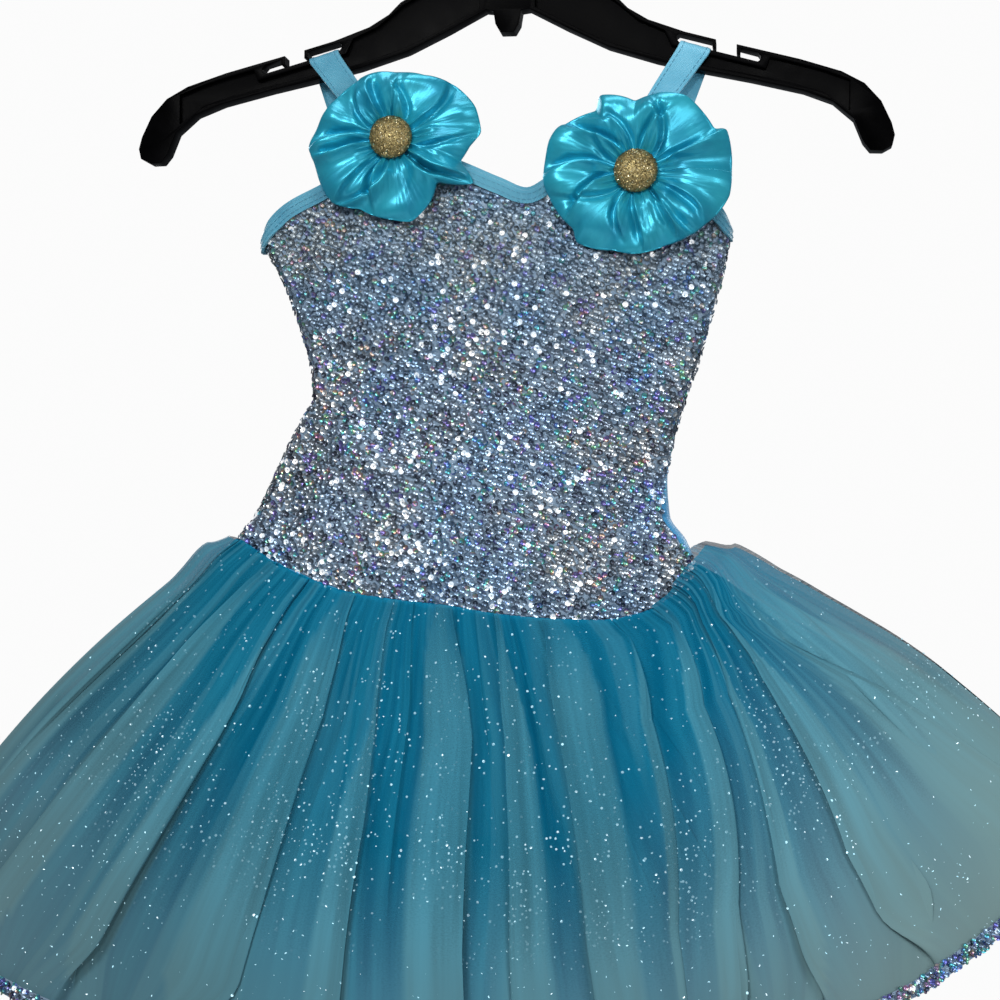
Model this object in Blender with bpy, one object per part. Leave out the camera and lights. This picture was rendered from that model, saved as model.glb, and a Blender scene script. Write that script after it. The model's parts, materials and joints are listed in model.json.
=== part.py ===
"""A child's dance leotard with a gathered net skirt, hung on a plastic clothes hanger.

The origin is where a rail touches the top of the inside of the hanger's hook, +Z is up, and the front of the
garment faces -Y. The sizes below are in millimetres and are scaled to metres when a mesh is made.
Each piece of cloth is a closed wall, worked out from sections of the garment's own body.
"""
import math
from collections import namedtuple

import bpy
import bmesh
from mathutils import Matrix, Vector
from mathutils.geometry import tessellate_polygon

MM = 0.001

# Cloth sizes
SEAM_GAP = 0.3
BAND_GAP = 0.4
PANEL_WALL = 1.4
BAND_WALL = 1.1
BAND_WIDTH = 7.0
STRAP_WALL = 1.2
NET_WALL = 1.0
TRIM_WALL = 1.0
TRIM_WIDTH = 7.0

# The body of the leotard at each height: the two side outlines, half the depth, and how far the side seams
# come round onto the front
Section = namedtuple("Section", "z left right depth left_seam right_seam")
BODY = (
    Section(-150, -124, 108, 9, 0, 0),
    Section(-190, -126, 109, 12, 0, 0),
    Section(-208, -126, 109, 15, 0, 0),
    Section(-222, -119, 107, 18, 0, 0),
    Section(-240, -111, 102.5, 20, 0, 0),
    Section(-260, -104.5, 97, 20, 0, 0),
    Section(-275, -100.5, 92.5, 19, 1, 0),
    Section(-288, -99.5, 88, 18.5, 2, 0),
    Section(-300, -106, 84.2, 19, 2, 0),
    Section(-312, -112.5, 81.5, 20.5, 1, 1),
    Section(-330, -121, 78.5, 23, 0, 4),
    Section(-348, -130, 80, 25, 0, 8),
    Section(-360, -139, 88, 26, 0, 8),
    Section(-374, -142, 93, 27, 0, 3),
    Section(-400, -142, 94, 27, 0, 2),
    Section(-520, -142, 94, 27, 0, 0),
)
SIDE_ROUND = 8.0                # radius of the soft fold at each side
CORNER_STEPS = 8
FRONT_BULGE = 1.2               # over 1 gives a flatter side and a fuller middle
BODY_MIDDLE = Vector((-20, 0, -300))
LOOP_STEPS = 60                 # straight steps in half a section

# Edges of the front and back, seen from the front, left to right
Edge = namedtuple("Edge", "x z")
FRONT_TOP = (
    Edge(-126, -208), Edge(-121, -200), Edge(-112, -192), Edge(-92, -182), Edge(-70, -167.5),
    Edge(-52, -162), Edge(-22, -174), Edge(-3, -182.5), Edge(10, -187.5), Edge(21, -182),
    Edge(48, -167), Edge(65, -170.5), Edge(88, -185), Edge(99, -193), Edge(105, -199), Edge(109, -206),
)
BACK_TOP = (
    Edge(-126, -208), Edge(-112, -203), Edge(-90, -197), Edge(-68, -193), Edge(-40, -204),
    Edge(-8, -214), Edge(28, -208), Edge(62, -197), Edge(86, -200), Edge(101, -204), Edge(109, -206),
)
HIP_FRONT = (
    Edge(-142, -358), Edge(-134, -361), Edge(-118, -370), Edge(-102, -377), Edge(-77, -385),
    Edge(-52, -388.5), Edge(-27, -391), Edge(-2, -395), Edge(27, -397.5), Edge(47, -398),
    Edge(71, -393), Edge(88, -383), Edge(94, -374),
)
HIP_BACK = (
    Edge(-142, -358), Edge(-130, -364), Edge(-80, -378), Edge(-20, -386), Edge(40, -384),
    Edge(80, -378), Edge(94, -374),
)
NECK_POINT_X = 10.0             # lowest point of the sweetheart neckline
STRAP_BASE_LEFT = (-66.0, -52.0)
STRAP_BASE_RIGHT = (50.0, 63.0)
PANEL_ROWS = 9

# Soft folds of the sequinned front: middle, direction of the crease in degrees, size and height
Fold = namedtuple("Fold", "x z turn length width height")
FRONT_FOLDS = (
    Fold(-62, -290, -12, 42, 9, 3.0),
    Fold(-70, -316, -34, 48, 10, 2.6),
    Fold(-45, -262, 16, 50, 12, 2.0),
    Fold(52, -292, 14, 38, 10, 2.6),
    Fold(48, -322, 48, 42, 11, 2.2),
    Fold(-15, -345, 70, 44, 14, 2.4),
    Fold(-92, -345, 58, 36, 11, 2.0),
    Fold(10, -235, 84, 40, 16, 1.8),
)
VALLEY_SHARE = 0.6              # depth of the valley beside a fold, as a share of its height
VALLEY_APART = 1.9              # distance from the fold to its valley, in widths

# Lower half of the leotard, seen through the net
CROTCH_Z = -508.0
CROTCH_TURN = 76.0              # how far the legs cut in at the crotch, as degrees of the body's section
SIDE_SEAM_SHARE = 0.12          # share of the height above the leg openings
LEG_CURVE = 0.85                # under 1 cuts the leg openings higher at the sides
BRIEF_ROWS = 7

# Net skirt
Hem = namedtuple("Hem", "x z")
HEM_FRONT = (
    Hem(-320, -541), Hem(-296, -556), Hem(-251, -573), Hem(-150, -600), Hem(-16, -620),
    Hem(100, -604), Hem(186, -567), Hem(225, -543), Hem(265, -512), Hem(288, -491),
)
HEM_DEPTH = 95.0
HEM_STEPS = 120
SKIRT_PUFF = 15.0               # how far the net stands out of the straight line from seam to hem
OUTER_WAVES_HALF = 21
INNER_WAVES_HALF = 14
STEPS_IN_WAVE = 4
WAVE_SIZES = (1.0, 0.72, 1.18, 0.9, 1.3, 0.8, 1.05, 0.65, 1.22, 0.95, 1.12, 0.78, 1.25)
OUTER_ROWS = (0.0, 0.04, 0.12, 0.27, 0.5, 0.75)
INNER_ROWS = (0.0, 0.05, 0.15, 0.34, 0.6)
INNER_LENGTH = 0.82
SKIRT_LENGTH = 250.0
OUTER_WAVE_TOP = 1.0
OUTER_WAVE_HEM = 6.0
INNER_WAVE_TOP = 0.3
INNER_WAVE_HEM = 4.0
SIDE_CALM = 0.08                # share of each half, next to the side, where the waves die down
WAVE_SPREAD = 0.8               # under 1 opens the waves higher up
GATHER_SHARE = 0.06             # share of the fall over which the net turns from level to its slope
SIDE_LIFT_SHARE = 0.15          # share of the fall over which the outer layer settles at the sides
SIDE_REACH = 0.12               # share of each half over which a side differs from the middle
Rise = namedtuple("Rise", "down height")
RIGHT_RISE = (                  # how far the gathers stand up at the right side, down the net
    Rise(0.0, 2.0), Rise(0.025, 9.0), Rise(0.05, 12.0), Rise(0.12, 13.2), Rise(0.2, 11.4), Rise(0.27, 9.2),
    Rise(0.35, 7.3), Rise(0.5, 3.6), Rise(0.63, 0.8), Rise(0.72, 0.0), Rise(1.0, 0.0),
)
SINK_SHARE = 0.2                # share of the fall over which the inner layer parts from the outer one
INNER_STAND = 0.2               # how far the inner layer stands up at the right, as a share of the outer one
LAYER_APART = 12.0              # how far the inner layer falls inside the outer one, away from the seam

# Hanger, one half of its outline, from the middle out
Arm = namedtuple("Arm", "x z")
ARM_TOP = (
    Arm(9, -59), Arm(14, -64), Arm(28, -76), Arm(42, -84.5), Arm(54, -91), Arm(60, -97),
    Arm(70, -103), Arm(88, -109.5), Arm(103.3, -113.7), Arm(116, -117), Arm(126, -119.7),
    Arm(144, -124.3), Arm(164, -130.7), Arm(175, -136.7), Arm(183, -145.5), Arm(188, -156),
)
ARM_FOOT = (
    Arm(11, -96), Arm(30, -106), Arm(50.5, -115.8), Arm(74.6, -123.4), Arm(98.5, -129.0),
    Arm(121, -133.8), Arm(146, -139.9), Arm(160, -145.3), Arm(170, -154.0),
)
ARM_END = (Arm(189.6, -162), Arm(188.5, -167), Arm(184, -169.5), Arm(178, -169.3), Arm(174.5, -165))
NUB = (Arm(7, -96.5), Arm(6, -103), Arm(3.5, -107.3))
HANGER_DEPTH = 10.0
HANGER_TILT = 0.4               # degrees, right arm lower
NOTCH_IN, NOTCH_OUT = 103.3, 113.3
SLOT_IN, SLOT_OUT, SLOT_CORNER = 84.0, 125.0, 1.4
LIP, SLOT_CLEAR, LIP_TAB, TAB_CLEAR = 1.5, 4.3, 1.8, 1.6
WEB_DEPTH = 3.0                 # depth of the sunk web on each face
WEB_RIM = 2.4
WEB_IN, WEB_OUT = 14.0, 168.0
HOOK_RADIUS = 20.0              # inside of the hook
HOOK_HALF_WIDTH = 3.4
HOOK_STEM_TOP = -55.0
HOOK_START, HOOK_END = -45.0, 205.0
HOOK_BEND = 8.0                 # how softly the stem turns into the arc
STEM_STEPS = 6
HOOK_STEPS = 22

# Straps over the slots of the hanger
STRAP_FOLD = (85.7, 100.9)      # where the strap lies in a slot, from the middle out
STRAP_INSET = 1.3
STRAP_BACK_HALF = 7.0
STRAP_BACK_X = (-70.0, 64.0)
STRAP_FRONT_CLEAR = 0.62        # share of the way up at which a strap lies clear in front of the hanger
STRAP_BACK_CLEAR = 0.7          # the same behind it

# Rosettes and their buttons
Rosette = namedtuple("Rosette", "side x y z radius turn lean")
ROSETTES = (
    Rosette("left", -55.5, -18.4, -161.5, 44.5, 8.0, -4.0),
    Rosette("right", 65.5, -19.2, -181, 45.0, 21.0, -4.0),
)
ROSETTE_LOBES = (1.06, 0.93, 1.02, 0.9, 1.05, 0.97, 1.08, 0.92, 1.0, 1.07, 0.94, 1.03, 0.96)
ROSETTE_STEPS = 3
LOBE_SWING = 0.035              # how far each lobe's edge swings out, as a share of the radius
BACK_FOLD = 0.25                # depth of the folds at the back, as a share of the front's
Ring = namedtuple("Ring", "reach front fold back")
ROSETTE_RINGS = (
    Ring(0.2, 0.0, 0.2, 6.0),
    Ring(0.36, 4.2, 1.5, 6.2),
    Ring(0.62, 6.2, 2.6, 6.4),
    Ring(0.86, 4.0, 2.6, 5.4),
    Ring(1.0, -0.6, 1.2, 3.6),
)
BUTTON_RADIUS = 10.6
Dome = namedtuple("Dome", "height reach")
BUTTON_DOME = (
    Dome(0.0, 0.86), Dome(0.5, 1.0), Dome(1.6, 0.98), Dome(3.2, 0.83), Dome(4.5, 0.55), Dome(5.2, 0.2),
)
BUTTON_SIDES = 22
BUTTON_SEAT = 1.3               # how far the satin rises under the button's edge

Paint = namedtuple("Paint", "colour roughness metallic")
SEQUIN = Paint((0.55, 0.62, 0.70), 0.3, 0.6)
AQUA = Paint((0.10, 0.52, 0.68), 0.5, 0.0)
BAND = Paint((0.17, 0.53, 0.67), 0.45, 0.0)
SATIN = Paint((0.03, 0.55, 0.66), 0.3, 0.0)
GLITTER = Paint((0.55, 0.42, 0.12), 0.35, 0.7)
NET = Paint((0.05, 0.33, 0.44), 0.6, 0.0)
TRIM = Paint((0.62, 0.66, 0.75), 0.25, 0.7)
BLACK = Paint((0.012, 0.012, 0.016), 0.3, 0.0)


def clear_scene():
    for item in list(bpy.data.objects):
        bpy.data.objects.remove(item, do_unlink=True)


def material(name, paint):
    """One Principled material for each object."""
    made = bpy.data.materials.new(name)
    made.use_nodes = True
    shader = made.node_tree.nodes["Principled BSDF"]
    shader.inputs["Base Color"].default_value = (*paint.colour, 1.0)
    shader.inputs["Roughness"].default_value = paint.roughness
    shader.inputs["Metallic"].default_value = paint.metallic
    return made


def solid(name, points, faces, paint, sharp=35.0):
    """A closed mesh from points in millimetres, turned to face out."""
    mesh = bpy.data.meshes.new(name)
    mesh.from_pydata([tuple(c * MM for c in p) for p in points], [], faces)
    work = bmesh.new()
    work.from_mesh(mesh)
    bmesh.ops.triangulate(work, faces=work.faces)
    bmesh.ops.recalc_face_normals(work, faces=work.faces)
    if work.calc_volume(signed=True) < 0:
        bmesh.ops.reverse_faces(work, faces=work.faces)
    work.to_mesh(mesh)
    work.free()
    mesh.shade_smooth()
    mesh.set_sharp_from_angle(angle=math.radians(sharp))
    mesh.materials.append(material(name + "_finish", paint))
    item = bpy.data.objects.new(name, mesh)
    bpy.context.scene.collection.objects.link(item)
    return item


def read(rows, key, value, column):
    """One column of a table at a place between its rows, on a smooth curve through them."""
    rows = sorted(rows, key=lambda row: getattr(row, key))
    at = [getattr(row, key) for row in rows]
    values = [getattr(row, column) for row in rows]
    if value <= at[0]:
        return values[0]
    if value >= at[-1]:
        return values[-1]
    i = max(k for k in range(len(at) - 1) if at[k] <= value)
    steps = [(values[k + 1] - values[k]) / (at[k + 1] - at[k]) for k in range(len(at) - 1)]

    def slope(k):
        if k == 0 or k == len(at) - 1 or steps[k - 1] * steps[k] <= 0:
            return 0.0 if 0 < k < len(at) - 1 else steps[min(k, len(steps) - 1)]
        return 2 * steps[k - 1] * steps[k] / (steps[k - 1] + steps[k])

    span = at[i + 1] - at[i]
    t = (value - at[i]) / span
    a, b = values[i], values[i + 1]
    return (a * (1 + 2 * t) * (1 - t) ** 2 + b * t * t * (3 - 2 * t)
            + span * (slope(i) * t * (1 - t) ** 2 - slope(i + 1) * t * t * (1 - t)))


def along_line(points, distances, wanted):
    """A point at a distance along a line of points."""
    for k in range(len(points) - 1):
        if distances[k + 1] >= wanted or k == len(points) - 2:
            t = (wanted - distances[k]) / (distances[k + 1] - distances[k])
            return points[k].lerp(points[k + 1], t)


def lengths(points):
    """Distance from the first point to each point."""
    total = [0.0]
    for a, b in zip(points, points[1:]):
        total.append(total[-1] + (b - a).length)
    return total


def half_section(z):
    """Half of the body's section at a height, on the front, from the left fold to the right."""
    left = read(BODY, "z", z, "left")
    right = read(BODY, "z", z, "right")
    depth = read(BODY, "z", z, "depth")
    width = right - left - 2 * SIDE_ROUND
    points = []
    for k in range(CORNER_STEPS):
        turn = math.radians(90.0 * k / CORNER_STEPS)
        points.append(Vector((left + SIDE_ROUND * (1 - math.cos(turn)), -SIDE_ROUND * math.sin(turn), z)))
    for k in range(LOOP_STEPS + 1):
        m = k / LOOP_STEPS
        bulge = (depth - SIDE_ROUND) * math.sin(math.pi * m) ** FRONT_BULGE
        points.append(Vector((left + SIDE_ROUND + width * m, -SIDE_ROUND - bulge, z)))
    for k in reversed(range(CORNER_STEPS)):
        turn = math.radians(90.0 * k / CORNER_STEPS)
        points.append(Vector((right - SIDE_ROUND * (1 - math.cos(turn)), -SIDE_ROUND * math.sin(turn), z)))
    return points


def body_point(face, part, z):
    """A point on the body's outside; part runs from 0 at the left seam to 1 at the right seam."""
    half = half_section(z)
    total = lengths(half)
    left_seam = read(BODY, "z", z, "left_seam")
    right_seam = read(BODY, "z", z, "right_seam")
    edge = SEAM_GAP / 2
    if face == "front":
        start, stop = left_seam + edge, total[-1] - right_seam - edge
        return along_line(half, total, start + (stop - start) * part)
    start, stop = edge - left_seam, total[-1] + right_seam - edge
    place = start + (stop - start) * part
    if place < 0:
        return along_line(half, total, -place)
    if place > total[-1]:
        return along_line(half, total, 2 * total[-1] - place)
    point = along_line(half, total, place)
    return Vector((point.x, -point.y, z))


def edge_point(face, part, edge, start_z):
    """Where a column of the body meets an edge drawn from the front."""
    z = start_z
    for _ in range(12):
        z = 0.5 * z + 0.5 * read(edge, "x", body_point(face, part, z).x, "z")
    return body_point(face, part, z)


def part_at(face, x, edge, start_z):
    """The column whose edge point has a given x."""
    low, high = 0.0, 1.0
    for _ in range(30):
        middle = (low + high) / 2
        if edge_point(face, middle, edge, start_z).x < x:
            low = middle
        else:
            high = middle
    return (low + high) / 2


def spread(start, stop, count, ease=1.0):
    """Even steps from start up to, not including, stop; ease over 1 packs them near the start."""
    return [start + (stop - start) * (k / count) ** ease for k in range(count)]


def grid_normals(grid):
    """Outward directions at the points of a grid of rows."""
    rows, columns = len(grid), len(grid[0])
    normals = []
    for r in range(rows):
        line = []
        for c in range(columns):
            across = grid[r][min(c + 1, columns - 1)] - grid[r][max(c - 1, 0)]
            down = grid[min(r + 1, rows - 1)][c] - grid[max(r - 1, 0)][c]
            line.append(across.cross(down).normalized())
        normals.append(line)
    return normals


def face_out(grid, normals, away_from):
    """Turn all the directions round if they point towards the garment's middle."""
    r, c = len(grid) // 2, len(grid[0]) // 2
    if normals[r][c].dot(grid[r][c] - away_from) < 0:
        return [[-n for n in line] for line in normals]
    return normals


def wall(name, grid, normals, thickness, paint, lift=0.0):
    """A closed wall under a grid of outer points."""
    rows, columns = len(grid), len(grid[0])
    outer = [grid[r][c] + normals[r][c] * (lift + (thickness if lift else 0.0))
             for r in range(rows) for c in range(columns)]
    inner = [outer[r * columns + c] - normals[r][c] * thickness for r in range(rows) for c in range(columns)]
    shift = rows * columns
    faces = []
    for r in range(rows - 1):
        for c in range(columns - 1):
            a = r * columns + c
            for face in ((a, a + 1, a + columns + 1), (a, a + columns + 1, a + columns)):
                faces.append(face)
                faces.append(tuple(reversed([i + shift for i in face])))
    rim = list(range(columns))
    rim += [r * columns + columns - 1 for r in range(1, rows)]
    rim += [(rows - 1) * columns + c for c in reversed(range(columns - 1))]
    rim += [r * columns for r in reversed(range(1, rows - 1))]
    for a, b in zip(rim, rim[1:] + rim[:1]):
        faces.append((b, a, a + shift, b + shift))
    return solid(name, outer + inner, faces, paint)


def swept(name, sections, paint, upper=()):
    """A closed solid through sections of the same number of points, with flat ends.

    The points named in upper lie along a panel's top edge. Each side is split from an upper point to a lower
    one of the next section, as the panel's own faces are, so that the two stay parallel.
    """
    count = len(sections[0])
    points = [p for section in sections for p in section]
    faces = [tuple(range(count)), tuple(reversed([len(points) - count + k for k in range(count)]))]
    for s in range(len(sections) - 1):
        for k in range(count):
            a, b = s * count + k, s * count + (k + 1) % count
            if (k + 1) % count in upper and k not in upper:
                faces += [(b, a, a + count), (b, a + count, b + count)]
            else:
                faces += [(b, a, b + count), (a, a + count, b + count)]
    return solid(name, points, faces, paint)


def front_relief(point):
    """Height of the soft folds at a place on the front."""
    height = 0.0
    for fold in FRONT_FOLDS:
        turn = math.radians(fold.turn)
        u = (point.x - fold.x) * math.cos(turn) + (point.z - fold.z) * math.sin(turn)
        v = -(point.x - fold.x) * math.sin(turn) + (point.z - fold.z) * math.cos(turn)
        ridge = math.exp(-(v / fold.width) ** 2)
        trough = VALLEY_SHARE * math.exp(-(v / fold.width - VALLEY_APART) ** 2)
        height += fold.height * (ridge - trough) * math.exp(-(u / fold.length) ** 2)
    return height


def body_panel(face, parts, top, foot):
    """Grid of a front or back panel, from its top edge to the hip seam."""
    rows = [[] for _ in range(PANEL_ROWS + 1)]
    for part in parts:
        high = edge_point(face, part, top, -190)
        low = edge_point(face, part, foot, -380)
        for r in range(PANEL_ROWS + 1):
            if r == 0:
                z = high.z
            else:
                z = high.z - BAND_WIDTH - (high.z - BAND_WIDTH - low.z) * (r - 1) / (PANEL_ROWS - 1)
            rows[r].append(body_point(face, part, z))
    normals = face_out(rows, grid_normals(rows), BODY_MIDDLE)
    if face == "front":
        last = len(parts) - 1
        for r in range(2, PANEL_ROWS):
            for c in range(2, last - 1):
                rows[r][c] = rows[r][c] + normals[r][c] * front_relief(rows[r][c])
        normals = face_out(rows, grid_normals(rows), BODY_MIDDLE)
    for line in normals:
        for c in (0, -1):
            line[c] = Vector((line[c].x, 0.0, line[c].z)).normalized()
    normals[-1] = level(normals[-1])
    return rows, normals


def level(directions):
    """The same directions with no rise, so that two walls meet edge to edge at a seam."""
    return [Vector((n.x, n.y, 0.0)).normalized() for n in directions]


def band(name, grid, normals, first, last):
    """A folded band over the top edge of a panel, both sides of it, made from the panel's own points."""
    sections = []
    for c in range(first, last + 1):
        top, foot = grid[0][c], grid[1][c]
        n_top, n_foot = normals[0][c], normals[1][c]
        up = (top - foot).normalized()
        back_top, back_foot = top - n_top * PANEL_WALL, foot - n_foot * PANEL_WALL
        far = BAND_GAP + BAND_WALL
        sections.append([
            foot + n_foot * BAND_GAP, foot + n_foot * far, top + n_top * far + up * far,
            back_top - n_top * far + up * far, back_foot - n_foot * far, back_foot - n_foot * BAND_GAP,
            back_top - n_top * BAND_GAP + up * BAND_GAP, top + n_top * BAND_GAP + up * BAND_GAP,
        ])
    return swept(name, sections, BAND, upper=(2, 3, 6, 7))


def brief_panel(face, parts, foot, seam_normals):
    """Grid of the lower half's front or back, which narrows and turns under to the crotch."""
    seam = [edge_point(face, part, foot, -380) for part in parts]
    sign = -1.0 if face == "front" else 1.0
    middle_x = (seam[0].x + seam[-1].x) / 2
    half = (seam[-1].x - seam[0].x) / 2
    rows = []
    for r in range(BRIEF_ROWS + 1):
        v = r / BRIEF_ROWS
        turn = math.radians(90.0 * v)
        below = max(0.0, (v - SIDE_SEAM_SHARE) / (1 - SIDE_SEAM_SHARE))
        cut = math.radians(CROTCH_TURN * below ** LEG_CURVE)
        line = []
        for start in seam:
            x = middle_x + (start.x - middle_x) * math.cos(cut)
            z = start.z - SEAM_GAP + (CROTCH_Z - start.z) * math.sin(turn)
            round_depth = BODY[-1].depth * max(0.0, 1 - ((x - middle_x) / half) ** 2) ** 0.5
            depth = abs(start.y) + (round_depth - abs(start.y)) * min(1.0, v * BRIEF_ROWS / 3)
            depth = SEAM_GAP / 2 + max(0.0, depth - SEAM_GAP / 2) * math.cos(turn)
            line.append(Vector((x, sign * depth, z)))
        rows.append(line)
    normals = face_out(rows, grid_normals(rows), BODY_MIDDLE)
    for line in normals[:2]:
        for c in (0, -1):
            line[c] = Vector((line[c].x, 0.0, line[c].z)).normalized()
    normals[0] = seam_normals
    normals[-1] = [Vector((n.x, 0.0, n.z)).normalized() for n in normals[-1]]
    return rows, normals


def hem_line():
    """The hem of the front half in space, from the left side to the right."""
    left, right = HEM_FRONT[0].x, HEM_FRONT[-1].x
    middle, half = (left + right) / 2, (right - left) / 2
    points = []
    for k in range(HEM_STEPS + 1):
        turn = math.pi * k / HEM_STEPS
        x = middle - half * math.cos(turn)
        points.append(Vector((x, -HEM_DEPTH * math.sin(turn), read(HEM_FRONT, "x", x, "z"))))
    return points


def skirt_line(face, waves):
    """Columns of half a skirt: place from 0 to 1, wave height and wave size for each."""
    sizes = [WAVE_SIZES[(k * 3 + (0 if face == "front" else 5)) % len(WAVE_SIZES)] for k in range(waves)]
    total = sum(sizes)
    columns = []
    start = 0.0
    for size in sizes:
        for j in range(STEPS_IN_WAVE):
            height = math.sin(2 * math.pi * j / STEPS_IN_WAVE)
            columns.append((start + size * j / STEPS_IN_WAVE / total, height, size))
        start += size / total
    columns.append((1.0, 0.0, 1.0))
    return columns


def plan_out(points, sign):
    """Level outward directions of a line that runs from the left side to the right."""
    out = []
    for k in range(len(points)):
        run = points[min(k + 1, len(points) - 1)] - points[max(k - 1, 0)]
        out.append(Vector((-sign * run.y, sign * run.x, 0)).normalized())
    out[0], out[-1] = Vector((-1, 0, 0)), Vector((1, 0, 0))
    return out


def soft_step(share):
    """0 below 0, 1 above 1 and a soft rise between."""
    share = max(0.0, min(1.0, share))
    return share * share * (3 - 2 * share)


def skirt_half(face, waves, rows, length, wave_top, wave_hem, seam_lift, sink, stand=1.0):
    """Grid of the front or back half of one net layer, and its outward directions."""
    hip = HIP_FRONT if face == "front" else HIP_BACK
    sign = -1.0 if face == "front" else 1.0
    hem = hem_line()
    hem_lengths = lengths(hem)
    columns = skirt_line(face, waves)
    seams, feet = [], []
    for place, _, _ in columns:
        seam = edge_point("front", place, hip, -380)
        foot = along_line(hem, hem_lengths, hem_lengths[-1] * place)
        seams.append(Vector((seam.x, sign * abs(seam.y), seam.z - SEAM_GAP)))
        feet.append(Vector((foot.x, sign * abs(foot.y), foot.z)))
    seam_out, hem_out = plan_out(seams, sign), plan_out(feet, sign)
    grid = []
    for f in rows:
        line = []
        down = f * length
        for k, (place, height, size) in enumerate(columns):
            fall = feet[k] - seams[k]
            flat = (seam_out[k] * (1 - down) + hem_out[k] * down).normalized()
            slope = fall.normalized() * min(1.0, down / GATHER_SHARE)
            out = (flat - slope * flat.dot(slope)).normalized()
            at_right = soft_step((place - 1 + SIDE_REACH) / SIDE_REACH)
            at_side = max(at_right, soft_step((SIDE_REACH - place) / SIDE_REACH))
            settle = seam_lift * at_side * min(1.0, down / SIDE_LIFT_SHARE)
            lift = seam_lift - settle - sink * min(1.0, down / SINK_SHARE)
            puff = SKIRT_PUFF * 4 * down * (1 - down)
            calm = min(1.0, min(place, 1 - place) / SIDE_CALM)
            wave = (wave_top + (wave_hem - wave_top) * down ** WAVE_SPREAD) * size * height * calm
            steep = fall.normalized()
            up = (flat - steep * flat.dot(steep)).normalized()
            point = seams[k] + fall * down + out * (lift + puff + wave)
            point += up * stand * at_right * read(RIGHT_RISE, "down", down, "height")
            point.y = sign * max(sign * point.y, SEAM_GAP / 2)
            line.append(point)
        grid.append(line)
    normals = face_out(grid, grid_normals(grid), BODY_MIDDLE)
    for line in normals:
        for c in (0, -1):
            line[c] = Vector((line[c].x, 0.0, line[c].z)).normalized()
    return grid, normals


def strap(side, base, back_base, paint):
    """A strap from the front panel through the slot, over the arm and down to the back panel."""
    sign = -1.0 if side == "left" else 1.0
    face = HANGER_DEPTH / 2 + SEAM_GAP
    far = face + STRAP_WALL
    ends = STRAP_FOLD if side == "right" else STRAP_FOLD[::-1]
    folds = [tilt(Vector((sign * x, 0.0, slot_floor(x)))) for x in ends]
    out_base = STRAP_WALL / 2
    sections = []

    def section(low, high, y_in, y_out, z_in=0.0, z_out=0.0):
        sections.append([
            Vector((low.x, y_in, low.z + z_in)), Vector((low.x, y_out, low.z + z_out)),
            Vector((high.x, y_out, high.z + z_out)), Vector((high.x, y_in, high.z + z_in)),
        ])

    for share in (0.0, 0.5, 1.0):
        places = [base[k].lerp(folds[k], share * STRAP_FRONT_CLEAR) for k in (0, 1)]
        y = base[0].y * (1 - share) - (face + out_base) * share
        section(places[0], places[1], y + out_base, y - out_base)
    section(folds[0], folds[1], -face, -far, SEAM_GAP, SEAM_GAP + STRAP_WALL)
    section(folds[0], folds[1], face, far, SEAM_GAP, SEAM_GAP + STRAP_WALL)
    for share in (1.0, 0.5, 0.0):
        places = [back_base[k].lerp(folds[k], share * STRAP_BACK_CLEAR) for k in (0, 1)]
        y = back_base[0].y * (1 - share) + (face + out_base) * share
        section(places[0], places[1], y - out_base, y + out_base)
    return swept("strap_" + side, sections, paint)


def tilt(point):
    """Hang a point of the level hanger at the hanger's tilt."""
    return Matrix.Rotation(math.radians(HANGER_TILT), 4, "Y") @ point


def arm_top(x):
    return read(ARM_TOP, "x", x, "z")


def slot_floor(x):
    """Floor of the slot, a straight line under the lip."""
    slope = (arm_top(SLOT_OUT) - arm_top(SLOT_IN)) / (SLOT_OUT - SLOT_IN)
    return arm_top(NOTCH_IN) - LIP - SLOT_CLEAR + slope * (x - NOTCH_IN)


def arm_outline():
    """Right half of the hanger's outline: along the top with its slot, round the end and back below."""
    line = [Vector((row.x, 0, row.z)) for row in ARM_TOP if row.x < NOTCH_IN]
    inner_tab, outer_tab = NOTCH_IN - LIP_TAB, NOTCH_OUT + LIP_TAB
    slot = [
        (NOTCH_IN, arm_top(NOTCH_IN)),
        (NOTCH_IN, slot_floor(NOTCH_IN) + TAB_CLEAR),
        (inner_tab, slot_floor(inner_tab) + TAB_CLEAR),
        (inner_tab, arm_top(inner_tab) - LIP),
        (SLOT_IN + SLOT_CORNER, slot_floor(SLOT_IN + SLOT_CORNER) + SLOT_CLEAR),
        (SLOT_IN, slot_floor(SLOT_IN) + SLOT_CLEAR - SLOT_CORNER),
        (SLOT_IN, slot_floor(SLOT_IN) + SLOT_CORNER),
        (SLOT_IN + SLOT_CORNER, slot_floor(SLOT_IN + SLOT_CORNER)),
        (SLOT_OUT - SLOT_CORNER, slot_floor(SLOT_OUT - SLOT_CORNER)),
        (SLOT_OUT, slot_floor(SLOT_OUT) + SLOT_CORNER),
        (SLOT_OUT, slot_floor(SLOT_OUT) + SLOT_CLEAR - SLOT_CORNER),
        (SLOT_OUT - SLOT_CORNER, slot_floor(SLOT_OUT - SLOT_CORNER) + SLOT_CLEAR),
        (outer_tab, arm_top(outer_tab) - LIP),
        (outer_tab, slot_floor(outer_tab) + TAB_CLEAR),
        (NOTCH_OUT, slot_floor(NOTCH_OUT) + TAB_CLEAR),
        (NOTCH_OUT, arm_top(NOTCH_OUT)),
    ]
    line += [Vector((x, 0, z)) for x, z in slot]
    line += [Vector((row.x, 0, row.z)) for row in ARM_TOP if row.x > NOTCH_OUT]
    line += [Vector((row.x, 0, row.z)) for row in ARM_END]
    line += [Vector((row.x, 0, row.z)) for row in reversed(ARM_FOOT)]
    line += [Vector((row.x, 0, row.z)) for row in NUB]
    return line


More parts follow.
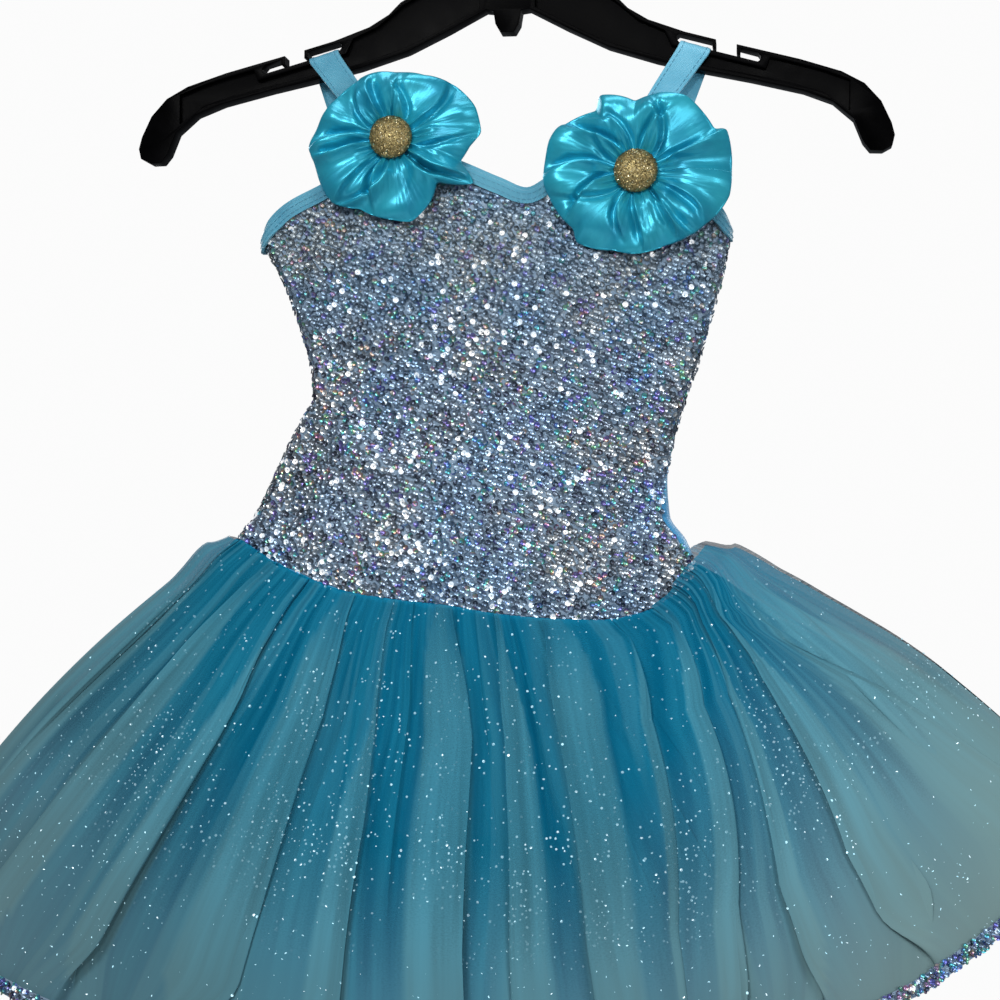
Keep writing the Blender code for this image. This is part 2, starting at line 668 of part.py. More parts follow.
def web_outline(sign):
    """The sunk web of one arm, inside a rim of even width."""
    steps = 12
    xs = [WEB_IN + (WEB_OUT - WEB_IN) * k / steps for k in range(steps + 1)]
    xs = sorted(xs + [SLOT_IN - WEB_RIM, SLOT_OUT + WEB_RIM])
    upper, lower = [], []
    for x in xs:
        in_slot = SLOT_IN - WEB_RIM <= x <= SLOT_OUT + WEB_RIM
        high = slot_floor(x) if in_slot else arm_top(x)
        upper.append(Vector((sign * x, 0, high - WEB_RIM)))
        lower.append(Vector((sign * x, 0, read(ARM_FOOT, "x", x, "z") + WEB_RIM)))
    return [tilt(p) for p in upper + lower[::-1]]


def hook_line():
    """Middle of the hook's rod: up the stem, out to one side and over the rail."""
    reach = HOOK_RADIUS + HOOK_HALF_WIDTH
    middle = Vector((0, 0, -HOOK_RADIUS))
    start = math.radians(HOOK_START)
    arc_start = middle + Vector((math.cos(start), 0, math.sin(start))) * reach
    stem = Vector((0, 0, HOOK_STEM_TOP))
    lead = Vector((0, 0, HOOK_STEM_TOP + HOOK_BEND))
    aim = arc_start - Vector((-math.sin(start), 0, math.cos(start))) * HOOK_BEND
    line = []
    for k in range(STEM_STEPS + 1):
        t = k / STEM_STEPS
        low = stem * (1 - t) ** 3 + lead * 3 * t * (1 - t) ** 2
        high = aim * 3 * t * t * (1 - t) + arc_start * t ** 3
        line.append(low + high)
    for k in range(1, HOOK_STEPS + 1):
        turn = math.radians(HOOK_START + (HOOK_END - HOOK_START) * k / HOOK_STEPS)
        line.append(middle + Vector((math.cos(turn), 0, math.sin(turn))) * reach)
    return line


def hook_outline():
    """Both edges of the hook, from the left of the stem round the tip to the right of the stem."""
    line = hook_line()
    inside, outside = [], []
    for k, point in enumerate(line):
        ahead = (line[min(k + 1, len(line) - 1)] - line[max(k - 1, 0)]).normalized()
        side = Vector((-ahead.z, 0, ahead.x)) * HOOK_HALF_WIDTH
        inside.append(point + side)
        outside.append(point - side)
    tip = [line[-1] + (line[-1] - line[-2]).normalized() * HOOK_HALF_WIDTH]
    return inside + tip + outside[::-1]


def plate(name, outline, webs, paint):
    """A flat moulding: an outline in X and Z given a depth, with webs sunk into both faces."""
    loops = [outline] + webs
    flat = [[Vector((p.x, p.z, 0)) for p in loop] for loop in loops]
    caps = tessellate_polygon(flat)
    count = sum(len(loop) for loop in loops)
    points, faces = [], []
    for sign in (-1, 1):
        base = len(points)
        face_y = sign * HANGER_DEPTH / 2
        points += [Vector((p.x, face_y, p.z)) for loop in loops for p in loop]
        faces += [tuple(base + i for i in cap) for cap in caps]
        start = base + len(outline)
        for web, flat_web in zip(webs, flat[1:]):
            floor = len(points)
            points += [Vector((p.x, face_y - sign * WEB_DEPTH, p.z)) for p in web]
            faces += [tuple(floor + i for i in cap) for cap in tessellate_polygon([flat_web])]
            size = len(web)
            for k in range(size):
                n = (k + 1) % size
                faces.append((start + k, start + n, floor + n, floor + k))
            start += size
    other = count + sum(len(web) for web in webs)
    size = len(outline)
    faces += [(k, (k + 1) % size, other + (k + 1) % size, other + k) for k in range(size)]
    return solid(name, points, faces, paint, sharp=30.0)


def build_hanger():
    half = arm_outline()
    left_half = [Vector((-p.x, 0, p.z)) for p in reversed(half)]
    outline = [tilt(p) for p in half + left_half + hook_outline()]
    plate("hanger", outline, [web_outline(-1), web_outline(1)], BLACK)


def rosette(flower):
    """A gathered round of satin with its button in the middle."""
    centre = Vector((flower.x, flower.y, flower.z))
    lean = Matrix.Rotation(math.radians(flower.lean), 3, "X")
    lobes = len(ROSETTE_LOBES)
    steps = lobes * ROSETTE_STEPS
    front, back = [], []
    for ring in ROSETTE_RINGS:
        front_line, back_line = [], []
        for k in range(steps):
            lobe = ROSETTE_LOBES[(k // ROSETTE_STEPS) % lobes]
            phase = 2 * math.pi * (k % ROSETTE_STEPS) / ROSETTE_STEPS
            turn = 2 * math.pi * k / steps + math.radians(flower.turn)
            edge = 1 + (lobe - 1 + LOBE_SWING * math.cos(phase)) * ring.reach ** 3
            reach = flower.radius * ring.reach * edge
            rise = ring.front + ring.fold * math.cos(phase) * lobe
            x, z = reach * math.cos(turn), reach * math.sin(turn)
            front_line.append(centre + lean @ Vector((x, -rise, z)))
            hollow = ring.back - BACK_FOLD * ring.fold * math.cos(phase)
            back_line.append(centre + lean @ Vector((x, hollow, z)))
        front.append(front_line)
        back.append(back_line)
    middle_back = centre + lean @ Vector((0, ROSETTE_RINGS[0].back, 0))
    points = [centre] + [p for line in front for p in line]
    back_start = len(points)
    points += [middle_back] + [p for line in back for p in line]
    faces = []
    for k in range(steps):
        n = (k + 1) % steps
        faces.append((0, 1 + k, 1 + n))
        faces.append((back_start, back_start + 1 + n, back_start + 1 + k))
        for r in range(len(front) - 1):
            a, b = 1 + r * steps, 1 + (r + 1) * steps
            faces.append((a + k, b + k, b + n, a + n))
            faces.append((back_start + a + n, back_start + b + n, back_start + b + k, back_start + a + k))
        rim = 1 + (len(front) - 1) * steps
        faces.append((rim + k, back_start + rim + k, back_start + rim + n, rim + n))
    solid("flower_" + flower.side, points, faces, SATIN, sharp=60.0)
    button_base = ROSETTE_RINGS[0].fold * max(ROSETTE_LOBES) + SEAM_GAP + BUTTON_SEAT
    rings = []
    for row in BUTTON_DOME:
        ring = []
        for s in range(BUTTON_SIDES):
            turn = 2 * math.pi * s / BUTTON_SIDES
            reach = BUTTON_RADIUS * row.reach
            place = Vector((reach * math.cos(turn), -button_base - row.height, reach * math.sin(turn)))
            ring.append(centre + lean @ place)
        rings.append(ring)
    swept("button_" + flower.side, rings, GLITTER)


def build_garment():
    left_out = part_at("front", STRAP_BASE_LEFT[0], FRONT_TOP, -170)
    left_in = part_at("front", STRAP_BASE_LEFT[1], FRONT_TOP, -170)
    neck = part_at("front", NECK_POINT_X, FRONT_TOP, -185)
    right_in = part_at("front", STRAP_BASE_RIGHT[0], FRONT_TOP, -170)
    right_out = part_at("front", STRAP_BASE_RIGHT[1], FRONT_TOP, -170)
    side_columns, neck_columns = 6, 4
    parts = spread(0.0, left_out, side_columns, 1.2) + [left_out]
    parts += spread(left_in, neck, neck_columns) + spread(neck, right_in, neck_columns) + [right_in]
    far_side = spread(1.0, right_out, side_columns, 1.2)
    parts += [right_out] + far_side[::-1]
    strap_left_at = side_columns
    strap_right_at = side_columns + 2 + 2 * neck_columns
    grid, normals = body_panel("front", parts, FRONT_TOP, HIP_FRONT)
    wall("bodice_front", grid, normals, PANEL_WALL, SEQUIN)
    band("binding_arm_left", grid, normals, 0, strap_left_at)
    band("binding_neck", grid, normals, strap_left_at + 1, strap_right_at - 1)
    band("binding_arm_right", grid, normals, strap_right_at, len(parts) - 1)
    back_parts = spread(0.0, 0.5, 10, 1.1)
    back_parts += [0.5] + [1 - p for p in reversed(back_parts)]
    back_grid, back_normals = body_panel("back", back_parts, BACK_TOP, HIP_BACK)
    wall("bodice_back", back_grid, back_normals, PANEL_WALL, AQUA)
    band("binding_back", back_grid, back_normals, 0, len(back_parts) - 1)
    lower = brief_panel("front", parts, HIP_FRONT, normals[-1])
    wall("brief_front", *lower, PANEL_WALL, AQUA)
    lower = brief_panel("back", back_parts, HIP_BACK, back_normals[-1])
    wall("brief_back", *lower, PANEL_WALL, AQUA)
    build_straps(grid, normals, strap_left_at, strap_right_at)
    build_skirt()


def build_straps(grid, normals, left_at, right_at):
    up = Vector((0, 0, SEAM_GAP))
    ends = (("left", left_at, STRAP_BACK_X[0]), ("right", right_at - 1, STRAP_BACK_X[1]))
    for side, first, back_x in ends:
        low, high = grid[0][first], grid[0][first + 1]
        low_n, high_n = normals[0][first], normals[0][first + 1]
        low, high = low - low_n * PANEL_WALL / 2, high - high_n * PANEL_WALL / 2
        step = (high - low).normalized() * STRAP_INSET
        base = (low + step + up, high - step + up)
        back = []
        for x in (back_x - STRAP_BACK_HALF, back_x + STRAP_BACK_HALF):
            point = edge_point("back", part_at("back", x, BACK_TOP, -195), BACK_TOP, -195)
            rise = BAND_GAP + BAND_WALL + 2 * SEAM_GAP
            back.append(Vector((point.x, point.y - PANEL_WALL / 2, point.z + rise)))
        strap(side, base, back, BAND)


def build_skirt():
    hem_row = 1 - TRIM_WIDTH / SKIRT_LENGTH
    outer_rows = (*OUTER_ROWS, hem_row, 1.0)
    inner_rows = (*INNER_ROWS, 1.0)
    inner_lift = SEAM_GAP + NET_WALL + INNER_WAVE_TOP * max(WAVE_SIZES)
    outer_lift = inner_lift + 4 * SEAM_GAP + NET_WALL + (INNER_WAVE_TOP + OUTER_WAVE_TOP) * max(WAVE_SIZES)
    for face in ("front", "back"):
        grid, normals = skirt_half(face, OUTER_WAVES_HALF, outer_rows, 1.0, OUTER_WAVE_TOP, OUTER_WAVE_HEM,
                                   outer_lift, 0.0)
        wall("skirt_outer_" + face, grid, normals, NET_WALL, NET)
        wall("hem_trim_" + face, grid[-2:], normals[-2:], TRIM_WALL, TRIM, lift=SEAM_GAP)
        grid, normals = skirt_half(face, INNER_WAVES_HALF, inner_rows, INNER_LENGTH, INNER_WAVE_TOP,
                                   INNER_WAVE_HEM, inner_lift, LAYER_APART, INNER_STAND)
        wall("skirt_inner_" + face, grid, normals, NET_WALL, NET)


clear_scene()
build_hanger()
build_garment()
for flower in ROSETTES:
    rosette(flower)
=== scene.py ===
# %% [markdown]
# # A child's dance leotard with a net skirt, on its hanger
# The garment is a tank leotard. A sequinned front and a plain stretch back are joined at the sides, stretch
# binding folds over the top edges, two straps loop through the slots of a moulded hanger, and a gathered
# skirt of glitter net hangs from the dropped hip line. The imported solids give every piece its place. The
# cells below dress them one piece at a time, and every pattern is worked out, so no picture file is needed.

# %% Load the solids
import json
import math
from collections import namedtuple

import bpy
import bmesh
import numpy as np
from mathutils import Matrix, Vector

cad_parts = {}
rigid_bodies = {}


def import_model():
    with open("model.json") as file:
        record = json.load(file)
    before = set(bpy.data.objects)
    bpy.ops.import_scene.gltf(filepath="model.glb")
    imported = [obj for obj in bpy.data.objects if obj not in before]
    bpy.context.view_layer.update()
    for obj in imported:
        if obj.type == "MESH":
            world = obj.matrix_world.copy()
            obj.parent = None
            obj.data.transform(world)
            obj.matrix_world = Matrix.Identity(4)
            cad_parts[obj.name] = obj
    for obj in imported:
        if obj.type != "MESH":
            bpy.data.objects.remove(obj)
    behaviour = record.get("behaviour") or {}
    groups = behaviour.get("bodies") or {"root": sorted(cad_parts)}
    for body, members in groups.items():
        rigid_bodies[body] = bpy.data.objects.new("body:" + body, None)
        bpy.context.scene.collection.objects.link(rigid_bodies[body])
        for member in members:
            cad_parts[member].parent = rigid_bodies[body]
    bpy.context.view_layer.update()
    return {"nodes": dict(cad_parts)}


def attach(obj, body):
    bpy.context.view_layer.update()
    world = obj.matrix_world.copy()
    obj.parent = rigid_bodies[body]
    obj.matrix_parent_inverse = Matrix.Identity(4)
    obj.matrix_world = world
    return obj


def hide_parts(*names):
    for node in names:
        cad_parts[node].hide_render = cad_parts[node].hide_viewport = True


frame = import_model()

# %% [markdown]
# ## Camera, floor and light
# A garment on a hanger is photographed level, from a little to its right. The lens angle and the distance
# are set from the width that the hanger takes in the frame. A pale round floor lies well below the hem.

# %% Camera
CAMERA_TURN = math.radians(8.0)
CAMERA_REACH = 0.95
CAMERA_AIM = Vector((-0.005, 0.0, -0.340))
CAMERA_LENS = 68.4


def add_camera():
    camera = bpy.data.objects.new("camera", bpy.data.cameras.new("camera"))
    camera.data.lens = CAMERA_LENS
    camera.data.clip_start = 0.01
    away = Vector((math.sin(CAMERA_TURN), -math.cos(CAMERA_TURN), 0.0))
    camera.location = CAMERA_AIM + away * CAMERA_REACH
    camera.rotation_mode = "QUATERNION"
    camera.rotation_quaternion = (-away).to_track_quat("-Z", "Y")
    bpy.context.scene.collection.objects.link(camera)
    bpy.context.scene.camera = camera
    print("camera at", tuple(round(c, 3) for c in camera.location))


add_camera()

# %% [markdown]
# Satin and sequins show what they reflect. A wide soft lamp above and to the left gives the long highlights
# on the satin, a narrow one gives the sequins their glints, and the sky is white to the eye but dim to the
# cloth, so the folds keep their depth.

# %% Lights and sky
Lamp = namedtuple("Lamp", "name x y z width watts")
LAMPS = (
    Lamp("key", -0.42, -1.20, 0.42, 0.45, 11.0),
    Lamp("fill", 0.95, -1.05, -0.15, 0.6, 6.0),
    Lamp("spark", 0.10, -1.25, 0.15, 0.12, 3.4),
    Lamp("top", 0.05, 0.1, 0.75, 0.6, 5.0),
    Lamp("back_left", -0.7, 1.1, 0.1, 0.6, 5.5),
    Lamp("back_right", 0.8, 0.9, 0.0, 0.5, 3.5),
)
SKY_SEEN = (0.97, 0.97, 0.97, 1.0)
SKY_LIGHT = (0.20, 0.215, 0.235, 1.0)
FLOOR_RADIUS = 0.7
FLOOR_Z = -0.95


def add_lamp(row):
    lamp = bpy.data.lights.new(row.name, "AREA")
    lamp.shape = "SQUARE"
    lamp.size = row.width
    lamp.energy = row.watts
    item = bpy.data.objects.new(row.name, lamp)
    item.location = (row.x, row.y, row.z)
    item.rotation_mode = "QUATERNION"
    item.rotation_quaternion = (CAMERA_AIM - item.location).to_track_quat("-Z", "Y")
    bpy.context.scene.collection.objects.link(item)


def add_sky():
    """A white that the camera sees, and a dimmer one that lights the cloth."""
    world = bpy.data.worlds.new("studio")
    bpy.context.scene.world = world
    world.use_nodes = True
    tree = world.node_tree
    seen = tree.nodes["Background"]
    seen.inputs["Color"].default_value = SKY_SEEN
    light = tree.nodes.new("ShaderNodeBackground")
    light.inputs["Color"].default_value = SKY_LIGHT
    path = tree.nodes.new("ShaderNodeLightPath")
    mix = tree.nodes.new("ShaderNodeMixShader")
    tree.links.new(path.outputs["Is Camera Ray"], mix.inputs["Fac"])
    tree.links.new(light.outputs[0], mix.inputs[1])
    tree.links.new(seen.outputs[0], mix.inputs[2])
    tree.links.new(mix.outputs[0], tree.nodes["World Output"].inputs["Surface"])


def add_floor():
    """A pale round floor under the garment."""
    floor = bpy.data.meshes.new("floor")
    work = bmesh.new()
    bmesh.ops.create_circle(work, cap_ends=True, segments=96, radius=FLOOR_RADIUS)
    bmesh.ops.translate(work, verts=work.verts, vec=(0.0, 0.0, FLOOR_Z))
    work.to_mesh(floor)
    work.free()
    pale = bpy.data.materials.new("floor")
    pale.use_nodes = True
    shader = pale.node_tree.nodes["Principled BSDF"]
    shader.inputs["Base Color"].default_value = (0.8, 0.8, 0.79, 1.0)
    shader.inputs["Roughness"].default_value = 0.8
    floor.materials.append(pale)
    item = bpy.data.objects.new("floor", floor)
    bpy.context.scene.collection.objects.link(item)


for lamp_row in LAMPS:
    add_lamp(lamp_row)
add_sky()
add_floor()
bpy.context.scene.view_settings.view_transform = "Standard"
bpy.context.scene.cycles.transparent_max_bounces = 32
print("lamps:", len(LAMPS))

# %% Helpers for meshes
MM = 0.001
scene_items = bpy.context.scene.collection.objects


def add_mesh(name, points, faces, finish, uv=None, sharp=None):
    """A mesh object from points in millimetres. uv has one pair of metres for each point."""
    mesh = bpy.data.meshes.new(name)
    mesh.from_pydata((np.asarray(points, float) * MM).tolist(), [], [tuple(f) for f in faces])
    if uv is not None:
        layer = mesh.uv_layers.new(name="cloth")
        corner = np.empty(len(mesh.loops), dtype=np.int32)
        mesh.loops.foreach_get("vertex_index", corner)
        layer.data.foreach_set("uv", np.asarray(uv, np.float32)[corner].ravel())
    mesh.shade_smooth()
    if sharp:
        mesh.set_sharp_from_angle(angle=math.radians(sharp))
    mesh.materials.append(finish)
    item = bpy.data.objects.new(name, mesh)
    scene_items.link(item)
    return item


def directions(grid):
    """Unit normals of a grid of points, rows by columns."""
    across = np.gradient(grid, axis=1)
    down = np.gradient(grid, axis=0)
    out = np.cross(across, down)
    return out / np.maximum(np.linalg.norm(out, axis=2, keepdims=True), 1e-9)


def outward(grid, face):
    """The same, facing away from the inside of the garment."""
    out = directions(grid)
    middle = out[grid.shape[0] // 2, grid.shape[1] // 2]
    wanted = -1.0 if face == "front" else 1.0
    return out if middle[1] * wanted > 0 else -out


def grid_faces(rows, columns, start=0, turned=False):
    """Quads of a grid of points."""
    r, c = np.meshgrid(np.arange(rows - 1), np.arange(columns - 1), indexing="ij")
    a = (start + r * columns + c).ravel()
    quads = np.stack([a, a + 1, a + columns + 1, a + columns], axis=1)
    return quads[:, ::-1] if turned else quads


def cloth_uv(grid):
    """Places on the flat cloth, in metres, from the lengths of the rows and columns."""
    across = np.linalg.norm(np.diff(grid, axis=1), axis=2)
    down = np.linalg.norm(np.diff(grid, axis=0), axis=2)
    u = np.concatenate([np.zeros((grid.shape[0], 1)), np.cumsum(across, axis=1)], axis=1)
    u = np.broadcast_to(u.mean(axis=0, keepdims=True), grid.shape[:2])
    v = np.concatenate([np.zeros((1, grid.shape[1])), np.cumsum(down, axis=0)], axis=0)
    return np.stack([u, -v], axis=2).reshape(-1, 2) * MM


def turned_out(grid, out):
    """Whether a grid's quads have to be turned to face the way that out points."""
    r, c = grid.shape[0] // 2, grid.shape[1] // 2
    a = grid[r + 1, c] - grid[r, c]
    b = grid[r, c + 1] - grid[r, c]
    return float(np.dot(np.cross(b, a), out[r, c])) < 0


def add_cloth(name, grid, out, thickness, finish):
    """A thin closed cloth: outer points, and inner ones one thickness in."""
    rows, columns = grid.shape[:2]
    inner = grid - out * thickness
    turned = turned_out(grid, out)
    count = rows * columns
    faces = [grid_faces(rows, columns, 0, turned), grid_faces(rows, columns, count, not turned)]
    rim = np.concatenate([
        np.arange(columns), np.arange(1, rows) * columns + columns - 1,
        (rows - 1) * columns + np.arange(columns - 2, -1, -1), np.arange(rows - 2, 0, -1) * columns,
    ])
    ahead = np.roll(rim, -1)
    edge = np.stack([ahead, rim, rim + count, ahead + count], axis=1)
    faces.append(edge[:, ::-1] if turned else edge)
    uv = cloth_uv(grid)
    points = np.concatenate([grid.reshape(-1, 3), inner.reshape(-1, 3)])
    return add_mesh(name, points, np.concatenate(faces), finish, np.concatenate([uv, uv]), sharp=60)


def add_strip(name, sections, finish, closed_ends=True):
    """A closed band or cord through sections of the same number of points."""
    sections = np.asarray(sections, float)
    count, around = sections.shape[:2]
    loop = np.concatenate([sections, sections[:, :1]], axis=1)
    steps = np.linalg.norm(np.diff(loop, axis=1), axis=2).mean(axis=0)
    width = np.concatenate([np.zeros(1), np.cumsum(steps)])
    middle = sections.mean(axis=1)
    run = np.concatenate([np.zeros(1), np.cumsum(np.linalg.norm(np.diff(middle, axis=0), axis=1))])
    uv = np.stack(np.broadcast_arrays(run[:, None], width[None, :]), axis=2)[:, :-1].reshape(-1, 2) * MM
    s, k = np.meshgrid(np.arange(count - 1), np.arange(around), indexing="ij")
    a, b = (s * around + k).ravel(), (s * around + (k + 1) % around).ravel()
    faces = np.stack([a, b, b + around, a + around], axis=1).tolist()
    if closed_ends:
        faces.append(list(reversed(range(around))))
        faces.append([(count - 1) * around + k for k in range(around)])
    item = add_mesh(name, sections.reshape(-1, 3), faces, finish, uv, sharp=50)
    face_outwards(item.data)
    return item


def face_outwards(mesh):
    """Turn a closed mesh's faces out."""
    work = bmesh.new()
    work.from_mesh(mesh)
    bmesh.ops.recalc_face_normals(work, faces=work.faces)
    if work.calc_volume(signed=True) < 0:
        bmesh.ops.reverse_faces(work, faces=work.faces)
    work.to_mesh(mesh)
    work.free()


def dress(item, slot, *nodes):
    """Make a piece part of the garment: its body and the solids that it stands for. Its slot is not used."""
    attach(item, "root")
    if nodes:
        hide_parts(*nodes)
    print(item.name, "faces:", len(item.data.polygons))
    return item


# %% [markdown]
# ## The body of the leotard
# Cloth that hangs empty keeps an oval section. The tables give the side outlines, half the depth and where
# the side seams lie at each height, in millimetres below the rail. The solids were made from the same
# sizes, so a finer surface made here lies on them.

# %% Sizes of the body
Section = namedtuple("Section", "z left right depth left_seam right_seam")
BODY = (
    Section(-150, -124, 108, 9, 0, 0), Section(-190, -126, 109, 12, 0, 0), Section(-208, -126, 109, 15, 0, 0),
    Section(-222, -119, 107, 18, 0, 0), Section(-240, -111, 102.5, 20, 0, 0),
    Section(-260, -104.5, 97, 20, 0, 0), Section(-275, -100.5, 92.5, 19, 1, 0),
    Section(-288, -99.5, 88, 18.5, 2, 0), Section(-300, -106, 84.2, 19, 2, 0),
    Section(-312, -112.5, 81.5, 20.5, 1, 1), Section(-330, -121, 78.5, 23, 0, 4),
    Section(-348, -130, 80, 25, 0, 8), Section(-360, -139, 88, 26, 0, 8), Section(-374, -142, 93, 27, 0, 3),
    Section(-400, -142, 94, 27, 0, 2), Section(-520, -142, 94, 27, 0, 0),
)
SIDE_ROUND = 8.0
CORNER_STEPS = 8
LOOP_STEPS = 60
FRONT_BULGE = 1.2
SEAM_GAP = 0.3

Edge = namedtuple("Edge", "x z")
FRONT_TOP = (
    Edge(-126, -208), Edge(-121, -200), Edge(-112, -192), Edge(-92, -182), Edge(-70, -167.5), Edge(-52, -162),
    Edge(-22, -174), Edge(-3, -182.5), Edge(10, -187.5), Edge(21, -182), Edge(48, -167), Edge(65, -170.5),
    Edge(88, -185), Edge(99, -193), Edge(105, -199), Edge(109, -206),
)
BACK_TOP = (
    Edge(-126, -208), Edge(-112, -203), Edge(-90, -197), Edge(-68, -193), Edge(-40, -204), Edge(-8, -214),
    Edge(28, -208), Edge(62, -197), Edge(86, -200), Edge(101, -204), Edge(109, -206),
)
HIP_FRONT = (
    Edge(-142, -358), Edge(-134, -361), Edge(-118, -370), Edge(-102, -377), Edge(-77, -385),
    Edge(-52, -388.5), Edge(-27, -391), Edge(-2, -395), Edge(27, -397.5), Edge(47, -398),
    Edge(71, -393), Edge(88, -383), Edge(94, -374),
)
HIP_BACK = (
    Edge(-142, -358), Edge(-130, -364), Edge(-80, -378), Edge(-20, -386), Edge(40, -384), Edge(80, -378),
    Edge(94, -374),
)


# %% Smooth curves through a table
def curve(rows, key, column):
    """A smooth curve through one column of a table, as a function of another column."""
    rows = sorted(rows, key=lambda row: getattr(row, key))
    at = np.array([getattr(row, key) for row in rows], float)
    values = np.array([getattr(row, column) for row in rows], float)
    steps = np.diff(values) / np.diff(at)
    slopes = np.concatenate([steps[:1], np.zeros(len(at) - 2), steps[-1:]])
    for k in range(1, len(at) - 1):
        if steps[k - 1] * steps[k] > 0:
            slopes[k] = 2 * steps[k - 1] * steps[k] / (steps[k - 1] + steps[k])

    def value(x):
        x = np.clip(np.asarray(x, float), at[0], at[-1])
        i = np.clip(np.searchsorted(at, x, side="right") - 1, 0, len(at) - 2)
        span = at[i + 1] - at[i]
        t = (x - at[i]) / span
        low, high = values[i] * (1 + 2 * t) * (1 - t) ** 2, values[i + 1] * t * t * (3 - 2 * t)
        return low + high + span * (slopes[i] * t * (1 - t) ** 2 - slopes[i + 1] * t * t * (1 - t))
    return value


body_left, body_right = curve(BODY, "z", "left"), curve(BODY, "z", "right")
body_depth = curve(BODY, "z", "depth")
seam_left, seam_right = curve(BODY, "z", "left_seam"), curve(BODY, "z", "right_seam")
front_top, back_top = curve(FRONT_TOP, "x", "z"), curve(BACK_TOP, "x", "z")
hip_front, hip_back = curve(HIP_FRONT, "x", "z"), curve(HIP_BACK, "x", "z")


def on_body(face, part, z):
    """Points on the outside of the body. part runs from 0 at the left seam to 1 at the right seam."""
    part, z = np.broadcast_arrays(np.asarray(part, float), np.asarray(z, float))
    shape = part.shape
    part, z = part.ravel(), z.ravel()
    left, right = body_left(z)[:, None], body_right(z)[:, None]
    depth = body_depth(z)[:, None]
    corner = np.radians(90.0 * np.arange(CORNER_STEPS) / CORNER_STEPS)
    m = np.arange(LOOP_STEPS + 1) / LOOP_STEPS
    width = right - left - 2 * SIDE_ROUND
    xs = np.concatenate([
        left + SIDE_ROUND * (1 - np.cos(corner)), left + SIDE_ROUND + width * m,
        right - SIDE_ROUND * (1 - np.cos(corner[::-1])),
    ], axis=1)
    ys = np.concatenate([
        -SIDE_ROUND * np.sin(corner) + 0 * left,
        -SIDE_ROUND - (depth - SIDE_ROUND) * np.sin(np.pi * m) ** FRONT_BULGE,
        -SIDE_ROUND * np.sin(corner[::-1]) + 0 * left,
    ], axis=1)
    run = np.concatenate([0 * left, np.cumsum(np.hypot(np.diff(xs), np.diff(ys)), axis=1)], axis=1)
    total = run[:, -1]
    low, high = seam_left(z), seam_right(z)
    gap = SEAM_GAP / 2
    if face == "front":
        place = low + gap + (total - low - high - 2 * gap) * part
    else:
        place = gap - low + (total + low + high - 2 * gap) * part
    past = (place < 0) | (place > total)
    place = np.where(place < 0, -place, np.where(place > total, 2 * total - place, place))
    i = np.clip((run <= place[:, None]).sum(axis=1) - 1, 0, run.shape[1] - 2)
    n = np.arange(len(place))
    t = (place - run[n, i]) / (run[n, i + 1] - run[n, i])
    x = xs[n, i] + (xs[n, i + 1] - xs[n, i]) * t
    y = ys[n, i] + (ys[n, i + 1] - ys[n, i]) * t
    if face == "back":
        y = np.where(past, y, -y)
    return np.stack([x, y, z], axis=1).reshape(*shape, 3)


def edge_height(face, part, edge, start):
    """Heights at which columns of the body meet an edge drawn from the front."""
    z = np.full(np.shape(part), float(start))
    for _ in range(14):
        z = 0.5 * z + 0.5 * edge(on_body(face, part, z)[..., 0])
    return z


def body_grid(face, columns, rows, top, foot):
    """A fine grid of a panel, from its top edge to the hip line."""
    part = (1 - np.cos(np.linspace(0, math.pi, columns))) / 2
    part = 0.35 * part + 0.65 * np.linspace(0, 1, columns)
    high = edge_height(face, part, top, -190)
    low = edge_height(face, part, foot, -380)
    share = np.linspace(0, 1, rows)[:, None]
    return on_body(face, np.broadcast_to(part, (rows, columns)), high + (low - high) * share)


print("waist, left to right:", float(body_left(-288)), float(body_right(-288)))

# %% [markdown]
# ## Finishes
# Each finish is a node material. Stretch cloth, binding and satin share one effect: a fine rib along the
# cloth, with soft patches of painted light and shade, as where the light falls unevenly on it. Such a
# shared effect is made once, as a node group with named sockets, and each material places it with its own
# values.

# %% Helpers for materials
def new_finish(name):
    finish = bpy.data.materials.new(name)
    finish.use_nodes = True
    return finish, finish.node_tree, finish.node_tree.nodes["Principled BSDF"]


def put(tree, kind, **inputs):
    """A node with some of its sockets set."""
    node = tree.nodes.new(kind)
    for key, value in inputs.items():
        node.inputs[key.replace("_", " ")].default_value = value
    return node


def ramp(tree, factor, stops, constant=False):
    """A colour ramp from (place, colour) stops."""
    node = tree.nodes.new("ShaderNodeValToRGB")
    band = node.color_ramp
    if constant:
        band.interpolation = "CONSTANT"
    while len(band.elements) < len(stops):
        band.elements.new(0.5)
    for element, (place, colour) in zip(band.elements, stops):
        element.position = place
        element.color = (*colour, 1.0)
    tree.links.new(factor, node.inputs["Fac"])
    return node.outputs["Color"]


def mixed(tree, factor, a, b, blend="MIX"):
    """Two colours mixed or multiplied; each is a socket or a plain colour."""
    node = tree.nodes.new("ShaderNodeMix")
    node.data_type = "RGBA"
    node.blend_type = blend
    for key, value in (("Factor", factor), ("A", a), ("B", b)):
        kind = "VALUE" if key == "Factor" else "RGBA"
        socket = next(s for s in node.inputs if s.name == key and s.type == kind and s.enabled)
        if hasattr(value, "links"):
            tree.links.new(value, socket)
        elif key == "Factor":
            socket.default_value = value
        else:
            socket.default_value = (*value, 1.0)
    return next(s for s in node.outputs if s.type == "RGBA" and s.enabled)


def maths(tree, operation, a, b=None, clamp=False):
    node = tree.nodes.new("ShaderNodeMath")
    node.operation = operation
    node.use_clamp = clamp
    for socket, value in zip(node.inputs, (a, b)):
        if value is None:
            continue
        if hasattr(value, "links"):
            tree.links.new(value, socket)
        else:
            socket.default_value = value
    return node.outputs[0]


